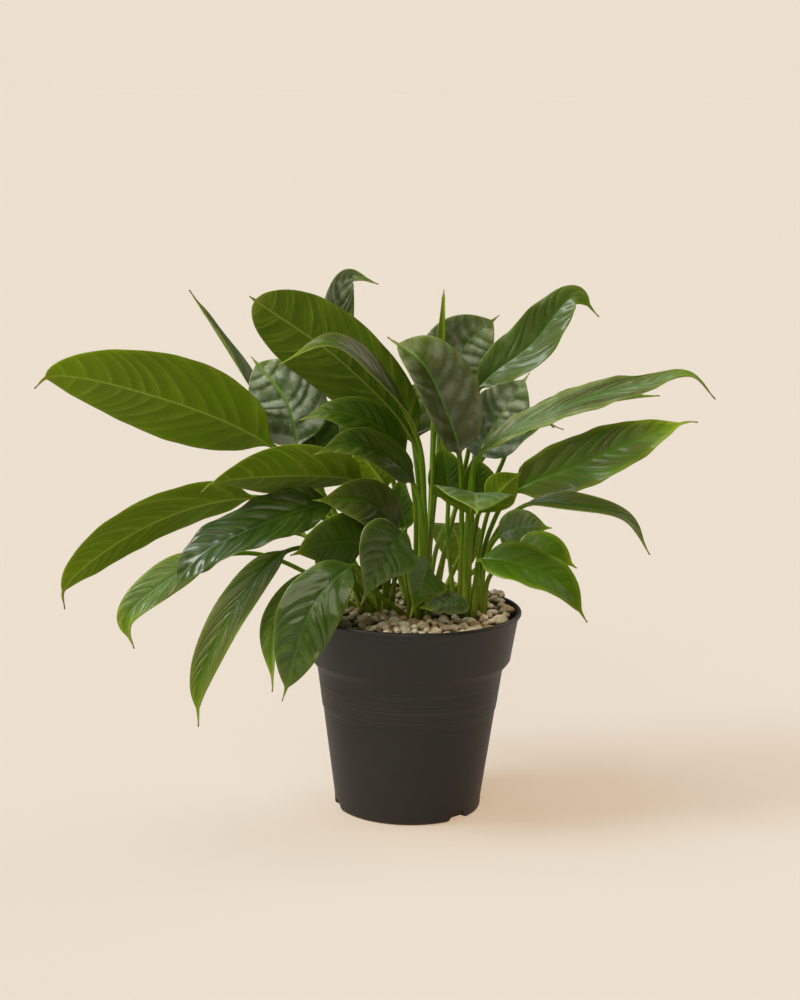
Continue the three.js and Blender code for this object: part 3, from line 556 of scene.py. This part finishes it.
top = fresh.blend(OLD_TOP, YOUNG_TOP)
top = (patchy * 0.45).blend(top, TOP_PATCH)
top = (streaks.between(0.5, 0.72) * off_rib * 0.35).blend(top, TOP_STREAK)
top = ((minor * 0.75 + streaks.between(0.45, 0.65) * 0.45) * off_rib * stripe).blend(top, TOP_STRIPE)
top = (major * off_rib * 0.2).blend(top, TOP_VEIN)
bronzed = broad.between(0.3, 0.6) * 0.6 + streaks.between(0.4, 0.7) * 0.4
top = (blush * bronzed * off_rib).blend(top, BRONZE)
# Painted sheen: grey-white patches on the upper face, stronger on one side of each side vein, stand in for
# glints of light off the gloss.
glinting = 0.15 + 0.85 * glints.between(0.38, 0.66)
top = (bloom * (0.3 + 0.7 * vein_relief_shading) * glinting).blend(top, PAINTED_SHEEN_GREY)
top = (from_rib.between(1.6, 0.7) * band).blend(top, TOP_RIB)

low = fresh.blend(OLD_UNDERSIDE, YOUNG_UNDERSIDE)
low = (patchy * 0.45).blend(low, LOW_PATCH)
low = (streaks.between(0.45, 0.7) * off_rib * 0.3).blend(low, LOW_STREAK)
# Painted shade on one side of each raised vein underneath.
low = (vein_relief_shading * off_rib * 0.14).blend(low, LOW_RELIEF_SHADE)
raised_veins = major * (0.14 + 0.34 * streaks.between(0.35, 0.7))
low = (raised_veins * (0.5 + 0.75 * fresh)).blend(low, LOW_VEIN)
low = (from_rib.between(0.9, 0.4) * (0.3 + 0.45 * fresh)).blend(low, LOW_RIB)

skin = upper.blend(low, top)
paler = (from_edge.between(4.5, 0.5) * 0.45 + reach.between(0.62, 0.95) * 0.5) * fresh * on_blade
skin = paler.blend(skin, YOUNG_MARGIN)
skin = (from_edge.between(0.45, 0.1) * 0.35 * on_blade).blend(skin, THIN_EDGE)
skin = (reach.between(0.9, 0.99) * 0.6).blend(skin, TIP)
skin = (reach.between(0.975, 0.995) * 0.9).blend(skin, DRY_TIP)
petiole = reach.between(-1.0, -0.2).blend(STALK_FOOT, STALK_TOP)
lined = place.stretched(1, 1, 0.12).noise(420.0, 3.0, 0.6).between(0.4, 0.7) * 0.4
skin = on_blade.blend(lined.blend(petiole, STALK_LINE), skin)
skin.into(shader.inputs["Base Color"])
rough_top = 0.4 - 0.12 * gloss + 0.08 * patchy
(0.6 + (rough_top - 0.6) * upper).into(shader.inputs["Roughness"])
(upper * on_blade * (0.02 + 0.42 * gloss)).into(shader.inputs["Coat Weight"])
bumped(minor * off_rib * -0.3 + major * off_rib * -0.5 + fine * 0.3, shader, 0.5, 0.0004)
shader.inputs["Coat Roughness"].default_value = 0.13
shader.inputs["Specular IOR Level"].default_value = 0.1


def grow_leaf(name, crown, slot, stalk, blade, width, face, fold=8, droop=0, wave=0, taper=1,
              drip=0.09, quilt=1.0, **looks):
    """One leaf, from its slot on a crown (radius, bearing), through the points of its stalk and
    its blade, the first of which is the blade's base. Its upper side looks along face there.

    The halves rise from the midrib by fold and bend down by droop, in degrees. Its edges wave by
    so many millimetres. With more taper it is widest nearer its base. Drip is the share of its
    length that is thin point, and quilt how far the skin swells between the side veins.
    """
    *spine, base, length = leaf_spine(crown, slot, stalk, blade, face)
    STALK_FEET.append(spine[0][0][:2])
    blade_length = length * (1 - base / SPINE_STEPS)
    veins = max(FEWEST_VEINS, round(blade_length / VEIN_SPACING))
    vein_rows = veins * ROWS_PER_VEIN
    leaf, row, w, upper = new_sheet(name, STALK_ROWS + vein_rows + DRIP_ROWS)
    draw = random.Random(name)
    side = np.sign(np.where(np.abs(w) < 1e-6, 0, w))

    # Places across the blade, u, from -1 to 1, and along it, s, from 0 to 1. Each row follows a
    # side vein, which sets out from the midrib and arches forward along the edge.
    on_blade = row > STALK_ROWS
    vein = (row - STALK_ROWS) / ROWS_PER_VEIN
    flat = np.clip(vein / veins, 0, 1)
    thin = ease(flat, 0.0, 0.06)                       # 0 at the end of the stalk, 1 on the blade
    u = np.sin(np.pi / 2 * np.abs(w) ** (1 + 0.6 * thin)) * side
    sweep = min(0.72, max(0.42, 1.14 - 2 * width / blade_length))     # less on a broad blade
    flat = flat + 0.1 * flat * (1 - flat) * np.sin(2 * np.pi * (2.3 * flat + draw.random()))
    proper = flat + (1 - flat) * sweep * ease(flat, 0, 0.3) * np.abs(u) ** 1.5
    in_drip = np.clip((row - STALK_ROWS - vein_rows) / DRIP_ROWS, 0, 1)
    s = (1 - drip) * proper + drip * in_drip
    point = DRIP_HALF_WIDTH * np.minimum(1, (1 - s) / drip)
    half = np.maximum(TIP_HALF_WIDTH, np.hypot(width / 2 * blade_share(proper, taper), point))
    from_rib = np.abs(u) * half

    # The blade is a thin fold, quilted between its veins, with a groove on top and a rib below.
    phase = vein + 0.5 * (side > 0)
    sunk = (0.5 + 0.5 * np.cos(2 * np.pi * phase)) ** 2
    room = ease(from_rib, 0.5, 3.5) * (1 - u**2) * ease(s, 0, 0.08) * ease(s, 1.0, 0.85)
    pillow = quilt * 0.045 * blade_length / veins
    lift = blade_lift(s, u, side, half, width, blade_length, (fold, droop, wave), draw)
    lift = lift + pillow * (0.35 - sunk) * room
    thickness = BLADE_THICKNESS * np.sqrt(np.clip(1 - np.abs(u) ** 30, 0, 1))
    rib_width = 0.6 + 1.1 * (1 - s)
    rib_here = RIB_HEIGHT * (1 - s) ** 1.5 + 0.5 * np.exp(-s / 0.15)
    rib = rib_here * np.exp(-((from_rib / rib_width) ** 2))
    groove = GROOVE_DEPTH * (1 - s) * np.exp(-((from_rib / 0.8) ** 2))
    blade_up = lift + np.where(upper, thickness / 2 - groove, -thickness / 2 - rib)

    # The stalk is round, and the blade's section grows out of its own.
    share = np.clip(row / STALK_ROWS, 0, 1)
    flare = STALK_FLARE * np.maximum(0, 1 - share / 0.45) ** 2
    radius = (0.75 + width / 180) * (STALK_RADIUS + flare)
    round_up = radius * np.sqrt(np.clip(1 - u**2, 0, 1)) * np.where(upper, 1, -1)
    aside = np.where(on_blade, (1 - thin) * radius + thin * half, radius) * u
    lifted = np.where(on_blade, (1 - thin) * round_up + thin * blade_up, round_up)
    step = np.where(on_blade, base + s * (SPINE_STEPS - base), share * base)
    points = lay_along(spine, step, row == 0, aside, lifted)
    leaf.data.vertices.foreach_set("co", points.ravel())

    # What the skin needs to know of each place on the leaf.
    facts = {"vein": phase, "reach": np.where(on_blade, s, -(1 - share)), "from_rib": from_rib,
             "from_edge": (1 - np.abs(u)) * half, "upper": upper.astype(float),
             "own": np.full(len(row), 40 * draw.random())}
    for look, usual in USUAL_LOOKS.items():
        facts[look] = np.full(len(row), looks.get(look, usual))
    for fact, values in facts.items():
        leaf.data.attributes.new(fact, "FLOAT", "POINT").data.foreach_set("value", values)
    close_sheet()
    dress(leaf, leaf_skin, "leaf", f"leaf_{name}")
    leaf.select_set(False)


# The left side: two broad blades seen from below, and six that arch over the pot's left edge.
grow_leaf("left_1", "left", (5.5, 180), [(-56, 12, 206)],
          [(-95, 5, 247), (-169, -12, 281), (-240, -22, 295), (-250, -24, 287)],
          64, (0.1, 0.95, 0.3), wave=0.3, taper=0.7, drip=0.06, quilt=0.9, fresh=0.66)
grow_leaf("left_2", "left", (11, 152), [(-68, 50, 210)],
          [(-106, 50, 271), (-134, 50, 314), (-155, 46, 347)],
          32, (0.85, -0.05, 0.5), fold=12, fresh=0.6, gloss=0.1)
grow_leaf("left_3", "left", (11, 215), [(-54, -8, 196)],
          [(-106, -28, 218), (-172, -45, 202), (-227, -54, 160), (-227, -54, 146)],
          42, (0, 0.85, 0.5), fold=10, wave=0.4, taper=0.72, drip=0.08, fresh=0.6)
grow_leaf("left_4", "left", (5.5, 0), [(-14, -12, 205)],
          [(-34, -28, 230), (-81, -44, 236), (-131, -54, 231), (-138, -54, 225)],
          50, (0, 0.8, 0.6), fold=12, taper=0.85, fresh=0.45)
grow_leaf("left_5", "left", (5.5, 300), [(-32, -16, 190)],
          [(-51, -40, 216), (-107, -62, 202), (-137, -68, 186), (-158, -70, 159)],
          42, (0, -0.55, 0.83), fold=10, wave=1.5, taper=0.75, fresh=0.05, gloss=0.55, quilt=1.4)
grow_leaf("left_6", "left", (11, 185), [(-69, -4, 161), (-105, -10, 176)],
          [(-136, -16, 173), (-166, -22, 157), (-190, -26, 133), (-185, -26, 113)],
          28, (0, -0.7, 0.7), fold=14, taper=0.85, fresh=0.6, stripe=0.7, gloss=0.3)
grow_leaf("left_7", "left", (11, 245), [(-55, -24, 180)],
          [(-82, -36, 184), (-114, -52, 150), (-138, -58, 97), (-139, -58, 69)],
          28, (-0.5, -0.7, 0.5), fold=14, taper=0.74, fresh=0.4, stripe=0.6, blush=0.4, gloss=0.3)
grow_leaf("left_8", "left", (11, 275), [(-41, -36, 166)],
          [(-57, -52, 172), (-87, -64, 144), (-90, -66, 96)],
          32, (-0.7, -0.5, 0.5), fold=18, fresh=0.5, stripe=0.5, gloss=0.3)

# The front: glossy young leaves that hang over the gravel.
grow_leaf("front_1", "middle", (11, 200), [(-28, -46, 163)],
          [(-39, -76, 183), (-63, -90, 160), (-82, -95, 98)],
          40, (-0.3, -0.9, 0.3), fold=10, droop=8, wave=1.2, taper=0.8,
          fresh=0.2, gloss=1.0, bloom=0.05, quilt=1.4)
grow_leaf("front_2", "middle", (11, 230), [(-5, -22, 180)],
          [(-10, -36, 199), (-32, -54, 221), (-65, -62, 223)],
          36, (-0.1, -0.7, 0.7), fresh=0.2, blush=0.35)
grow_leaf("front_3", "left", (11, 305), [(-20, -26, 174)],
          [(-30, -44, 190), (-55, -58, 194), (-79, -65, 187)],
          40, (-0.1, -0.97, 0.15), fold=4, droop=8, fresh=0.45, gloss=0.2)
grow_leaf("front_4", "middle", (11, 260), [(0, -36, 176)],
          [(-7, -60, 202), (-19, -70, 188), (-33, -76, 157)],
          43, (0.05, -0.9, 0.4), fold=14, droop=6, wave=1, taper=1.6, drip=0.12,
          fresh=0.25, gloss=1.0, bloom=0.1, quilt=1.8)
grow_leaf("front_5", "middle", (11, 290), [(12, -30, 161)],
          [(11, -42, 177), (6, -50, 164), (-1, -53, 144)],
          40, (0.1, -0.97, 0.2), fold=10, taper=1.5, drip=0.14, fresh=0.75, gloss=0.5)
grow_leaf("front_6", "right", (11, 230), [(34, -18, 146)],
          [(34, -27, 151), (21, -37, 150), (5, -42, 148)],
          29, (0, -0.6, 0.8), fold=6, fresh=0.4, bloom=0.3, stripe=0.3)
grow_leaf("front_7", "right", (11, 260), [(36, -10, 183)],
          [(38, -17, 207), (40, -42, 226), (41, -70, 217)],
          55, (0.1, -0.3, 0.95), fold=10, droop=6, taper=0.85,
          fresh=0.4, bloom=0.3, gloss=0.3, band=0.4)

# The right side: long narrow blades that reach out over the pot's right edge.
grow_leaf("right_1", "right", (11, 290), [(44, -18, 166)],
          [(45, -32, 179), (72, -46, 179), (98, -54, 168), (115, -56, 144)],
          33, (0.1, -0.7, 0.7), fold=10, wave=1.2, taper=0.85, fresh=0.6, gloss=0.25)
grow_leaf("right_2", "right", (11, 20), [(50, 8, 171)],
          [(59, 4, 189), (76, 2, 195), (94, 1, 195)],
          26, (0, -0.75, 0.65), fold=12, fresh=0.6, blush=0.35, bloom=0.2)
grow_leaf("right_3", "right", (11, 350), [(53, -2, 162)],
          [(70, -12, 178), (91, -17, 183), (110, -19, 172)],
          28, (0, -0.7, 0.7), fold=10, fresh=0.95, gloss=0.6)
grow_leaf("right_4", "right", (11, 50), [(54, 20, 181)],
          [(76, 8, 209), (111, -6, 212), (143, -10, 204), (159, -14, 181)],
          23, (0, -0.3, 0.95), fold=16, taper=0.85, fresh=0.4, stripe=0.5, blush=0.45)
grow_leaf("right_5", "right", (11, 80), [(54, 25, 190)],
          [(68, 26, 214), (110, 22, 234), (150, 17, 253), (184, 14, 267), (191, 14, 267)],
          40, (0, -0.75, 0.65), fold=12, wave=1.5, taper=0.85, fresh=0.9, blush=0.5, gloss=0.12)
grow_leaf("right_6", "right", (5.5, 270), [(40, -8, 208)],
          [(44, -14, 247), (100, -23, 282), (151, -27, 298), (179, -29, 305), (196, -30, 289)],
          22, (-0.1, -0.5, 0.85), fold=10, wave=1.5, taper=0.85,
          fresh=0.45, blush=0.5, stripe=0.5, bloom=0.25, gloss=0.1)
grow_leaf("right_7", "back", (11, 330), [(59, 30, 230)],
          [(74, 32, 262), (118, 26, 279), (165, 18, 284)],
          24, (0, -0.3, 0.95), fold=14, fresh=0.4, blush=0.8)
grow_leaf("right_8", "back", (5.5, 0), [(37, 30, 240)],
          [(43, 25, 285), (78, 19, 317), (106, 16, 350), (122, 14, 337)],
          35, (-0.3, -0.8, 0.5), fold=18, wave=1.2, taper=0.8,
          fresh=0.3, gloss=0.3, bloom=0.05, blush=0.15)
grow_leaf("right_9", "right", (5.5, 60), [(48, 14, 189)],
          [(54, 13, 210), (63, 13, 222), (73, 13, 231)],
          24, (0, 0.9, 0.2), fresh=0.6)

# The top: the oldest and darkest leaves, some bronzed, which stand over all the others.
# Its low freshness darkens it, partly as an old leaf and partly as painted shade on a blade turned away
# from the light.
grow_leaf("top_1", "middle", (5.5, 90), [(8, 8, 198)],
          [(0, 6, 251), (-47, -2, 304), (-110, -12, 349)],
          57, (0.1, 0.95, 0.2), wave=0.5, taper=0.5, drip=0.03, quilt=0.7, fresh=0.08)
grow_leaf("top_2", "middle", (5.5, 330), [(8, -4, 207)],
          [(2, -12, 257), (-27, -30, 303), (-55, -38, 323), (-91, -44, 307)],
          38, (0.2, -0.2, 0.95), fresh=0.35, blush=0.7, bloom=0.05)
grow_leaf("top_3", "right", (5.5, 180), [(33, -4, 193)],
          [(30, -10, 246), (19, -18, 279), (4, -22, 308), (-19, -14, 324)],
          47, (0.6, -0.78, 0.15), fold=36, taper=0.7,
          fresh=0.35, blush=0.55, gloss=0.8, bloom=0.35, band=0.35)
grow_leaf("top_4", "back", (11, 195), [(-42, 40, 253)],
          [(-51, 38, 304), (-53, 34, 337), (-46, 30, 360), (-26, 26, 355)],
          22, (0, -0.9, 0.2), fold=14, fresh=0.4, gloss=0.7, bloom=1.4)
grow_leaf("top_5", "left", (5.5, 120), [(-69, 34, 219)],
          [(-79, 32, 242), (-88, 32, 274), (-112, 38, 303)],
          54, (0, -0.9, 0.3), fold=10, taper=0.7, fresh=0.4, gloss=1.0, bloom=1.7, quilt=1.1, band=0.9)
grow_leaf("top_6", "left", (11, 88), [(-63, 52, 209)],
          [(-66, 52, 233), (-71, 54, 261), (-79, 58, 286)],
          34, (0, -0.9, 0.3), fold=10, fresh=0.2, gloss=0.6)
grow_leaf("top_7", "middle", (5.5, 150), [(1, -12, 215)],
          [(-6, -14, 246), (-28, -19, 267), (-54, -23, 275), (-77, -24, 269)],
          30, (0, -0.5, 0.85), fold=10, fresh=0.25)
grow_leaf("top_8", "middle", (5.5, 270), [(6, -22, 207)],
          [(-1, -28, 230), (-22, -40, 251), (-42, -52, 259), (-66, -60, 252)],
          30, (0, -0.5, 0.85), fold=10, fresh=0.2, stripe=0.3)
grow_leaf("top_9", "left", (11, 340), [(-10, -2, 193)],
          [(-18, -6, 222), (-29, -7, 237), (-42, -8, 254)],
          30, (0, 0.9, 0.3), fresh=0.9)
grow_leaf("top_10", "back", (5.5, 270), [(17, 34, 241)],
          [(18, 35, 281), (31, 35, 311), (56, 32, 335)],
          50, (0, -0.9, 0.3), taper=0.8, fresh=0.3, blush=0.3, gloss=0.9, bloom=0.6, quilt=1.3)
grow_leaf("top_11", "right", (5.5, 120), [(38, 6, 212)],
          [(42, 6, 241), (57, 4, 270), (76, 2, 300)],
          44, (-0.1, -0.9, 0.3), fold=12, taper=0.85,
          fresh=0.25, gloss=1.0, bloom=1.1, quilt=1.9, band=0.3)
grow_leaf("spear", "middle", (5.5, 30), [(13, 14, 224)],
          [(15, 16, 292), (17, 16, 326), (18, 16, 353)],
          5, (0, -1, 0), fold=30, fresh=0.9)

# The middle: three short leaves among the stalks.
grow_leaf("middle_1", "middle", (11, 130), [(-5, 16, 168)],
          [(-5, 16, 189), (-9, 16, 210), (-6, 16, 229)],
          20, (-0.3, -0.9, 0), fold=10)
grow_leaf("middle_2", "right", (11, 140), [(24, 18, 189)],
          [(24, 20, 209), (22, 22, 230), (18, 26, 250)],
          26, (0, -0.9, 0.2), fold=10, fresh=0.6)
grow_leaf("middle_3", "right", (11, 110), [(43, 20, 188)],
          [(45, 18, 208), (44, 18, 225), (40, 20, 242)],
          26, (0, -0.9, 0.2), fold=10, fresh=0.5)

# The back: nine leaves that round the plant off where the front view doesn't reach.
grow_leaf("back_1", "back", (11, 165), [(-20, 60, 190)],
          [(-40, 80, 225), (-70, 115, 255), (-95, 150, 250)],
          46, (0, -0.3, 0.95), fold=10, wave=1.2)
grow_leaf("back_2", "back", (11, 105), [(5, 65, 200)],
          [(0, 85, 240), (-5, 120, 270), (-12, 165, 262)],
          50, (0, -0.3, 0.95), wave=1.2, blush=0.3)
grow_leaf("back_3", "back", (11, 45), [(30, 60, 195)],
          [(50, 80, 230), (80, 112, 252), (110, 145, 240)],
          46, (0, -0.3, 0.95), fold=10, wave=1, fresh=0.5)
grow_leaf("back_4", "back", (11, 15), [(45, 45, 156)],
          [(64, 60, 170), (88, 80, 170), (104, 96, 150)],
          40, (0, -0.3, 0.95), fold=12, wave=1, fresh=0.6)
grow_leaf("back_5", "left", (11, 120), [(-44, 45, 160)],
          [(-75, 62, 174), (-112, 85, 182), (-142, 105, 160)],
          40, (0, -0.3, 0.95), fold=12, wave=1, fresh=0.4)
grow_leaf("back_6", "back", (11, 75), [(17, 60, 165)],
          [(25, 90, 178), (33, 118, 165), (40, 136, 125)],
          40, (0, 0.3, 0.95), fold=10, droop=6, fresh=0.5)
grow_leaf("back_7", "back", (11, 135), [(-12, 60, 165)],
          [(-32, 86, 175), (-52, 110, 160), (-65, 122, 115)],
          38, (0, 0.3, 0.95), fold=10, droop=6, fresh=0.4)
grow_leaf("back_8", "back", (5.5, 60), [(13, 55, 230)],
          [(15, 65, 275), (25, 80, 305), (40, 95, 318)],
          44, (0, -0.9, 0.4))
grow_leaf("back_9", "back", (5.5, 150), [(-20, 55, 240)],
          [(-32, 62, 270), (-55, 75, 300), (-80, 90, 305)],
          44, (0, -0.9, 0.4), blush=0.4)


# ---------------------------------------------------------------- the gravel
# A top dressing of tan granite grit, 5 to 13 mm, poured loose round the stalks by hand. It is
# heaped a little towards the back and the right, and hides the mix and most of the crowns.

STONE_SEED = 41
STONE_TRIES = 9000
STONE_KINDS = 8
STONE_BUMPS = 9
SMALLEST_RADIUS = 2.5
RADIUS_SPREAD = 4.2      # what the largest stones, which are poured first, add to that
STALK_ROOM = 2.4         # between the middle of a stalk and a stone
CROWN_REACH = 14         # from a crown's middle to the stones that lie on it
BED_THICKNESS = 7.5
BED_MIDDLE = 126.2
LOWEST_STONES = 129
FRONT_LEVEL = 135.4      # the tops of the stones at the front, where they lie lowest
BACK_RISE = 2.2
HEAP_RISE = 6.5
HEAP_BEARING = math.radians(37)
GRAVEL_GAP = 0.3         # between the gravel and the pot's wall
WALL_HEIGHT = 130        # where the wall round the gravel is measured
collar_share = (WALL_HEIGHT - COLLAR_FOOT) / (POT_HEIGHT - RIM_HEIGHT - COLLAR_FOOT)
wall_at_gravel = COLLAR_RADIUS + collar_share * (COLLAR_TOP_RADIUS - COLLAR_RADIUS) - POT_WALL
GRAVEL_RADIUS = wall_at_gravel - GRAVEL_GAP


def gravel_level(x, y):
    """How high the tops of the stones come."""
    towards_heap = x * math.cos(HEAP_BEARING) + y * math.sin(HEAP_BEARING)
    return FRONT_LEVEL + BACK_RISE * ease(y, -30, 50) + HEAP_RISE * ease(towards_heap, 30, 66)


def pour_stones():
    """Drops stones one by one, each onto what it meets, while they stay under the level."""
    draw = random.Random(STONE_SEED)
    stones = []
    for number in range(STONE_TRIES):
        radius = SMALLEST_RADIUS + RADIUS_SPREAD * (1 - number / STONE_TRIES) * draw.random() ** 0.8
        reach = (GRAVEL_RADIUS - radius * 0.92) * math.sqrt(draw.random())
        bearing = 2 * math.pi * draw.random()
        x, y = reach * math.cos(bearing), reach * math.sin(bearing)
        if any(math.hypot(x - a, y - b) < 0.8 * radius + STALK_ROOM for a, b in STALK_FEET):
            continue
        over_crown = any(math.hypot(x - a, y - b) < CROWN_REACH for a, b in CROWNS.values())
        z = (CROWN_TOP if over_crown else LOWEST_STONES) + radius * 0.5
        for a, b, c, other in stones:
            touch = 0.92 * (radius + other)
            gap = math.hypot(x - a, y - b)
            if gap < touch:
                z = max(z, c + math.sqrt(touch**2 - gap**2) * 0.92)
        if z + 0.7 * radius < gravel_level(x, y) + 1.2:
            stones.append((x, y, z, radius))
    return stones


def model_stone(number):
    """One water-worn stone of radius 1, as its vertices and faces."""
    draw = random.Random(STONE_SEED + number)
    bpy.ops.mesh.primitive_ico_sphere_add(subdivisions=2, radius=1)
    stone = bpy.context.object
    vertices = np.array([vertex.co[:] for vertex in stone.data.vertices])
    faces = [tuple(face.vertices) for face in stone.data.polygons]
    bpy.data.objects.remove(stone)
    bumps = []
    for _ in range(STONE_BUMPS):
        way = unit(np.array([draw.gauss(0, 1) for _ in range(3)]))
        bumps.append(draw.uniform(-0.26, 0.24) * np.clip(vertices @ way, 0, 1) ** 3)
    swell = 1 + sum(bumps)
    flatter = np.array([1, draw.uniform(0.82, 0.96), draw.uniform(0.8, 0.96)])
    return vertices * swell[:, None] * flatter, faces


# Each stone has one tone, and a rise that falls from 1 on its top to -1 on its underside, and
# lower yet deep in the heap, where the granite darkens them as painted shade. The bed has the tone 0.
models = [model_stone(number) for number in range(STONE_KINDS)]
draw = random.Random(STONE_SEED + 100)
points, faces, tones, rises = [], [], [], []
for x, y, z, radius in pour_stones():
    vertices, sides = draw.choice(models)
    tilt = Matrix.Rotation(draw.uniform(-0.5, 0.5), 3, "X") @ Matrix.Rotation(draw.uniform(0, 6.3), 3, "Z")
    tone, level = draw.random(), gravel_level(x, y)
    first = len(points)
    for vertex in vertices:
        turned_vertex = tilt @ Vector(vertex)
        point = Vector((x, y, z)) + turned_vertex * radius
        points.append(point * MM)
        tones.append(tone)
        rises.append(min(turned_vertex.z, 1 - (level + 1 - point.z) / 5))
    faces += [tuple(first + corner for corner in side) for side in sides]
heap = bpy.data.meshes.new("stones")
heap.from_pydata(points, [], faces)
heap.attributes.new("tone", "FLOAT", "POINT").data.foreach_set("value", tones)
heap.attributes.new("rise", "FLOAT", "POINT").data.foreach_set("value", rises)
stones = bpy.data.objects.new("stones", heap)
bpy.context.collection.objects.link(stones)

bpy.ops.mesh.primitive_cylinder_add(vertices=96, radius=GRAVEL_RADIUS * MM, depth=BED_THICKNESS * MM,
                                    location=(0, 0, BED_MIDDLE * MM))
gravel = bpy.context.object
gravel.name = "granite_gravel"
bpy.ops.object.transform_apply(location=True, rotation=True, scale=True)
gravel.data.attributes.new("tone", "FLOAT", "POINT")
gravel.data.attributes.new("rise", "FLOAT", "POINT")
stones.select_set(True)
gravel.select_set(True)
bpy.context.view_layer.objects.active = gravel
bpy.ops.object.join()
bpy.ops.object.shade_smooth_by_angle(angle=math.radians(34))

TAN, PALE_CREAM, GREY_TAN = colour(196, 160, 104), colour(255, 244, 208), colour(214, 192, 154)
RUST, DARK_GRAIN, MOSS_AND_LEAF_SHADE = colour(150, 120, 74), colour(96, 80, 58), colour(104, 98, 48)
SHADED_STONE, BED_SOIL_AND_SHADE = colour(48, 35, 18), colour(24, 17, 9)

granite, shader, wire = new_finish("tan_granite")
place = wire.place()
tone = wire.attribute("tone")
speckle = place.noise(1400.0, 3.0, 0.7)
cloud = place.noise(330.0, 4.0, 0.65)
# Darker and greener towards the left and the back: partly moss, and partly painted shade from the leaves
# over those stones.
moss_and_leaf_shade = (place.axis("Y") * 12 - place.axis("X") * 30 + place.noise(60.0, 3.0, 0.6)).between(0.2, 1.5)
stone = (tone * 1.6).between(0.0, 1.0).blend(TAN, PALE_CREAM)
stone = ((tone - 0.68) * 3.2).between(0.0, 1.0).blend(stone, GREY_TAN)
stone = (cloud.between(0.35, 0.75) * 0.35).blend(stone, RUST)
stone = (speckle.between(0.58, 0.75) * 0.6).blend(stone, DARK_GRAIN)
stone = (moss_and_leaf_shade * 0.75).blend(stone, MOSS_AND_LEAF_SHADE)
# Painted shade: darker towards each stone's underside and deep in the heap.
stone = (wire.attribute("rise").between(0.45, -0.25) * 0.9).blend(stone, SHADED_STONE)
# The bed is painted near black: the soil under the stones, darkened further as painted shade in the gaps
# between them.
stone = tone.between(0.001, 0.0).blend(stone, BED_SOIL_AND_SHADE)
stone.into(shader.inputs["Base Color"])
(0.78 + 0.15 * speckle).into(shader.inputs["Roughness"])
bumped(speckle * 0.4 + cloud, shader, 1.0, 0.003)
dress(gravel, granite, "gravel", "gravel")
bpy.ops.object.select_all(action="DESELECT")


# ---------------------------------------------------------------- the studio
# A pale cream floor under a cream surround, with windows of light in it overhead, to the left,
# in front and to the right, a soft sun from the left, and a camera a metre and a half away.

CREAM, COOL_WHITE = colour(236, 223, 206), colour(240, 243, 255)
AMBIENT = 0.17
OVERHEAD_STRENGTH = 5.2
LEFT_STRENGTH = 5.0
FRONT_STRENGTH = 5.0
RIGHT_STRENGTH = 2.8

# The floor glows by itself, and the light that falls on it brings it up to the surround's cream,
# so that the two meet without a line and its shadows stay pale and warm.
bpy.ops.mesh.primitive_plane_add(size=60, location=(0, 20, 0))
floor = bpy.context.object
floor.name = "pale_floor"
paper, shader, wire = new_finish("cream_paper")
shader.inputs["Base Color"].default_value = (0.168, 0.210, 0.2245, 1)
shader.inputs["Roughness"].default_value = 1.0
shader.inputs["Specular IOR Level"].default_value = 0.0
shader.inputs["Emission Color"].default_value = (0.555, 0.394, 0.260, 1)
shader.inputs["Emission Strength"].default_value = 1.0
floor.data.materials.append(paper)

world = bpy.data.worlds.new("pale_surround")
world.use_nodes = True
surround = world.node_tree.nodes["Background"]
wire = Wire(world.node_tree)
way = wire.node("ShaderNodeTexCoord", output="Generated")


def window(x, y, z, start, end):
    """A round window of light that way, which starts to glow at start and is full at end."""
    return (way.axis("Z") * z + way.axis("X") * x + way.axis("Y") * y).between(start, end)


overhead = window(-0.38, 0.2, 0.9, 0.945, 0.965)
left = window(-0.82, -0.28, 0.5, 0.935, 0.96)
front = window(-0.25, -0.8, 0.55, 0.95, 0.97)
right = window(0.66, 0.5, 0.56, 0.9, 0.95)
lamps = (AMBIENT + OVERHEAD_STRENGTH * overhead + LEFT_STRENGTH * left + FRONT_STRENGTH * front
         + RIGHT_STRENGTH * right)
behind_plant = wire.node("ShaderNodeLightPath", output="Is Camera Ray")
behind_plant.blend(overhead.blend(CREAM, COOL_WHITE), CREAM).into(surround.inputs["Color"])
(lamps + (1 - lamps) * behind_plant).into(surround.inputs["Strength"])
bpy.context.scene.world = world

SUN_STRENGTH = 3.2
SUN_WIDTH = math.radians(22)
SUN_WAY = Vector((0.93, 0.2, -0.9))
bpy.ops.object.light_add(type="SUN", location=(-2, -0.6, 2))
sun = bpy.context.object
sun.data.energy = SUN_STRENGTH
sun.data.angle = SUN_WIDTH
sun.data.color = (0.92, 0.96, 1.0)
sun.rotation_euler = SUN_WAY.to_track_quat("-Z", "Y").to_euler()

CAMERA_PLACE = Vector((-0.0088, -1.5, 0.496))
CAMERA_PITCH = math.radians(10.70)
CAMERA_ROLL = math.radians(1.04)
LENS = 81.72
SENSOR_WIDTH = 36
ahead = Vector((0, math.cos(CAMERA_PITCH), -math.sin(CAMERA_PITCH)))
level_right = Vector((1, 0, 0))
level_up = Vector((0, math.sin(CAMERA_PITCH), math.cos(CAMERA_PITCH)))
rolled_right = level_right * math.cos(CAMERA_ROLL) + level_up * math.sin(CAMERA_ROLL)
rolled_up = level_up * math.cos(CAMERA_ROLL) - level_right * math.sin(CAMERA_ROLL)
bpy.ops.object.camera_add()
camera = bpy.context.object
camera.data.lens = LENS
camera.data.sensor_width = SENSOR_WIDTH
camera.data.clip_end = 200
turned = Matrix((rolled_right, rolled_up, -ahead)).transposed().to_4x4()
camera.matrix_world = Matrix.Translation(CAMERA_PLACE) @ turned
bpy.context.scene.camera = camera
bpy.context.scene.view_settings.view_transform = "Standard"
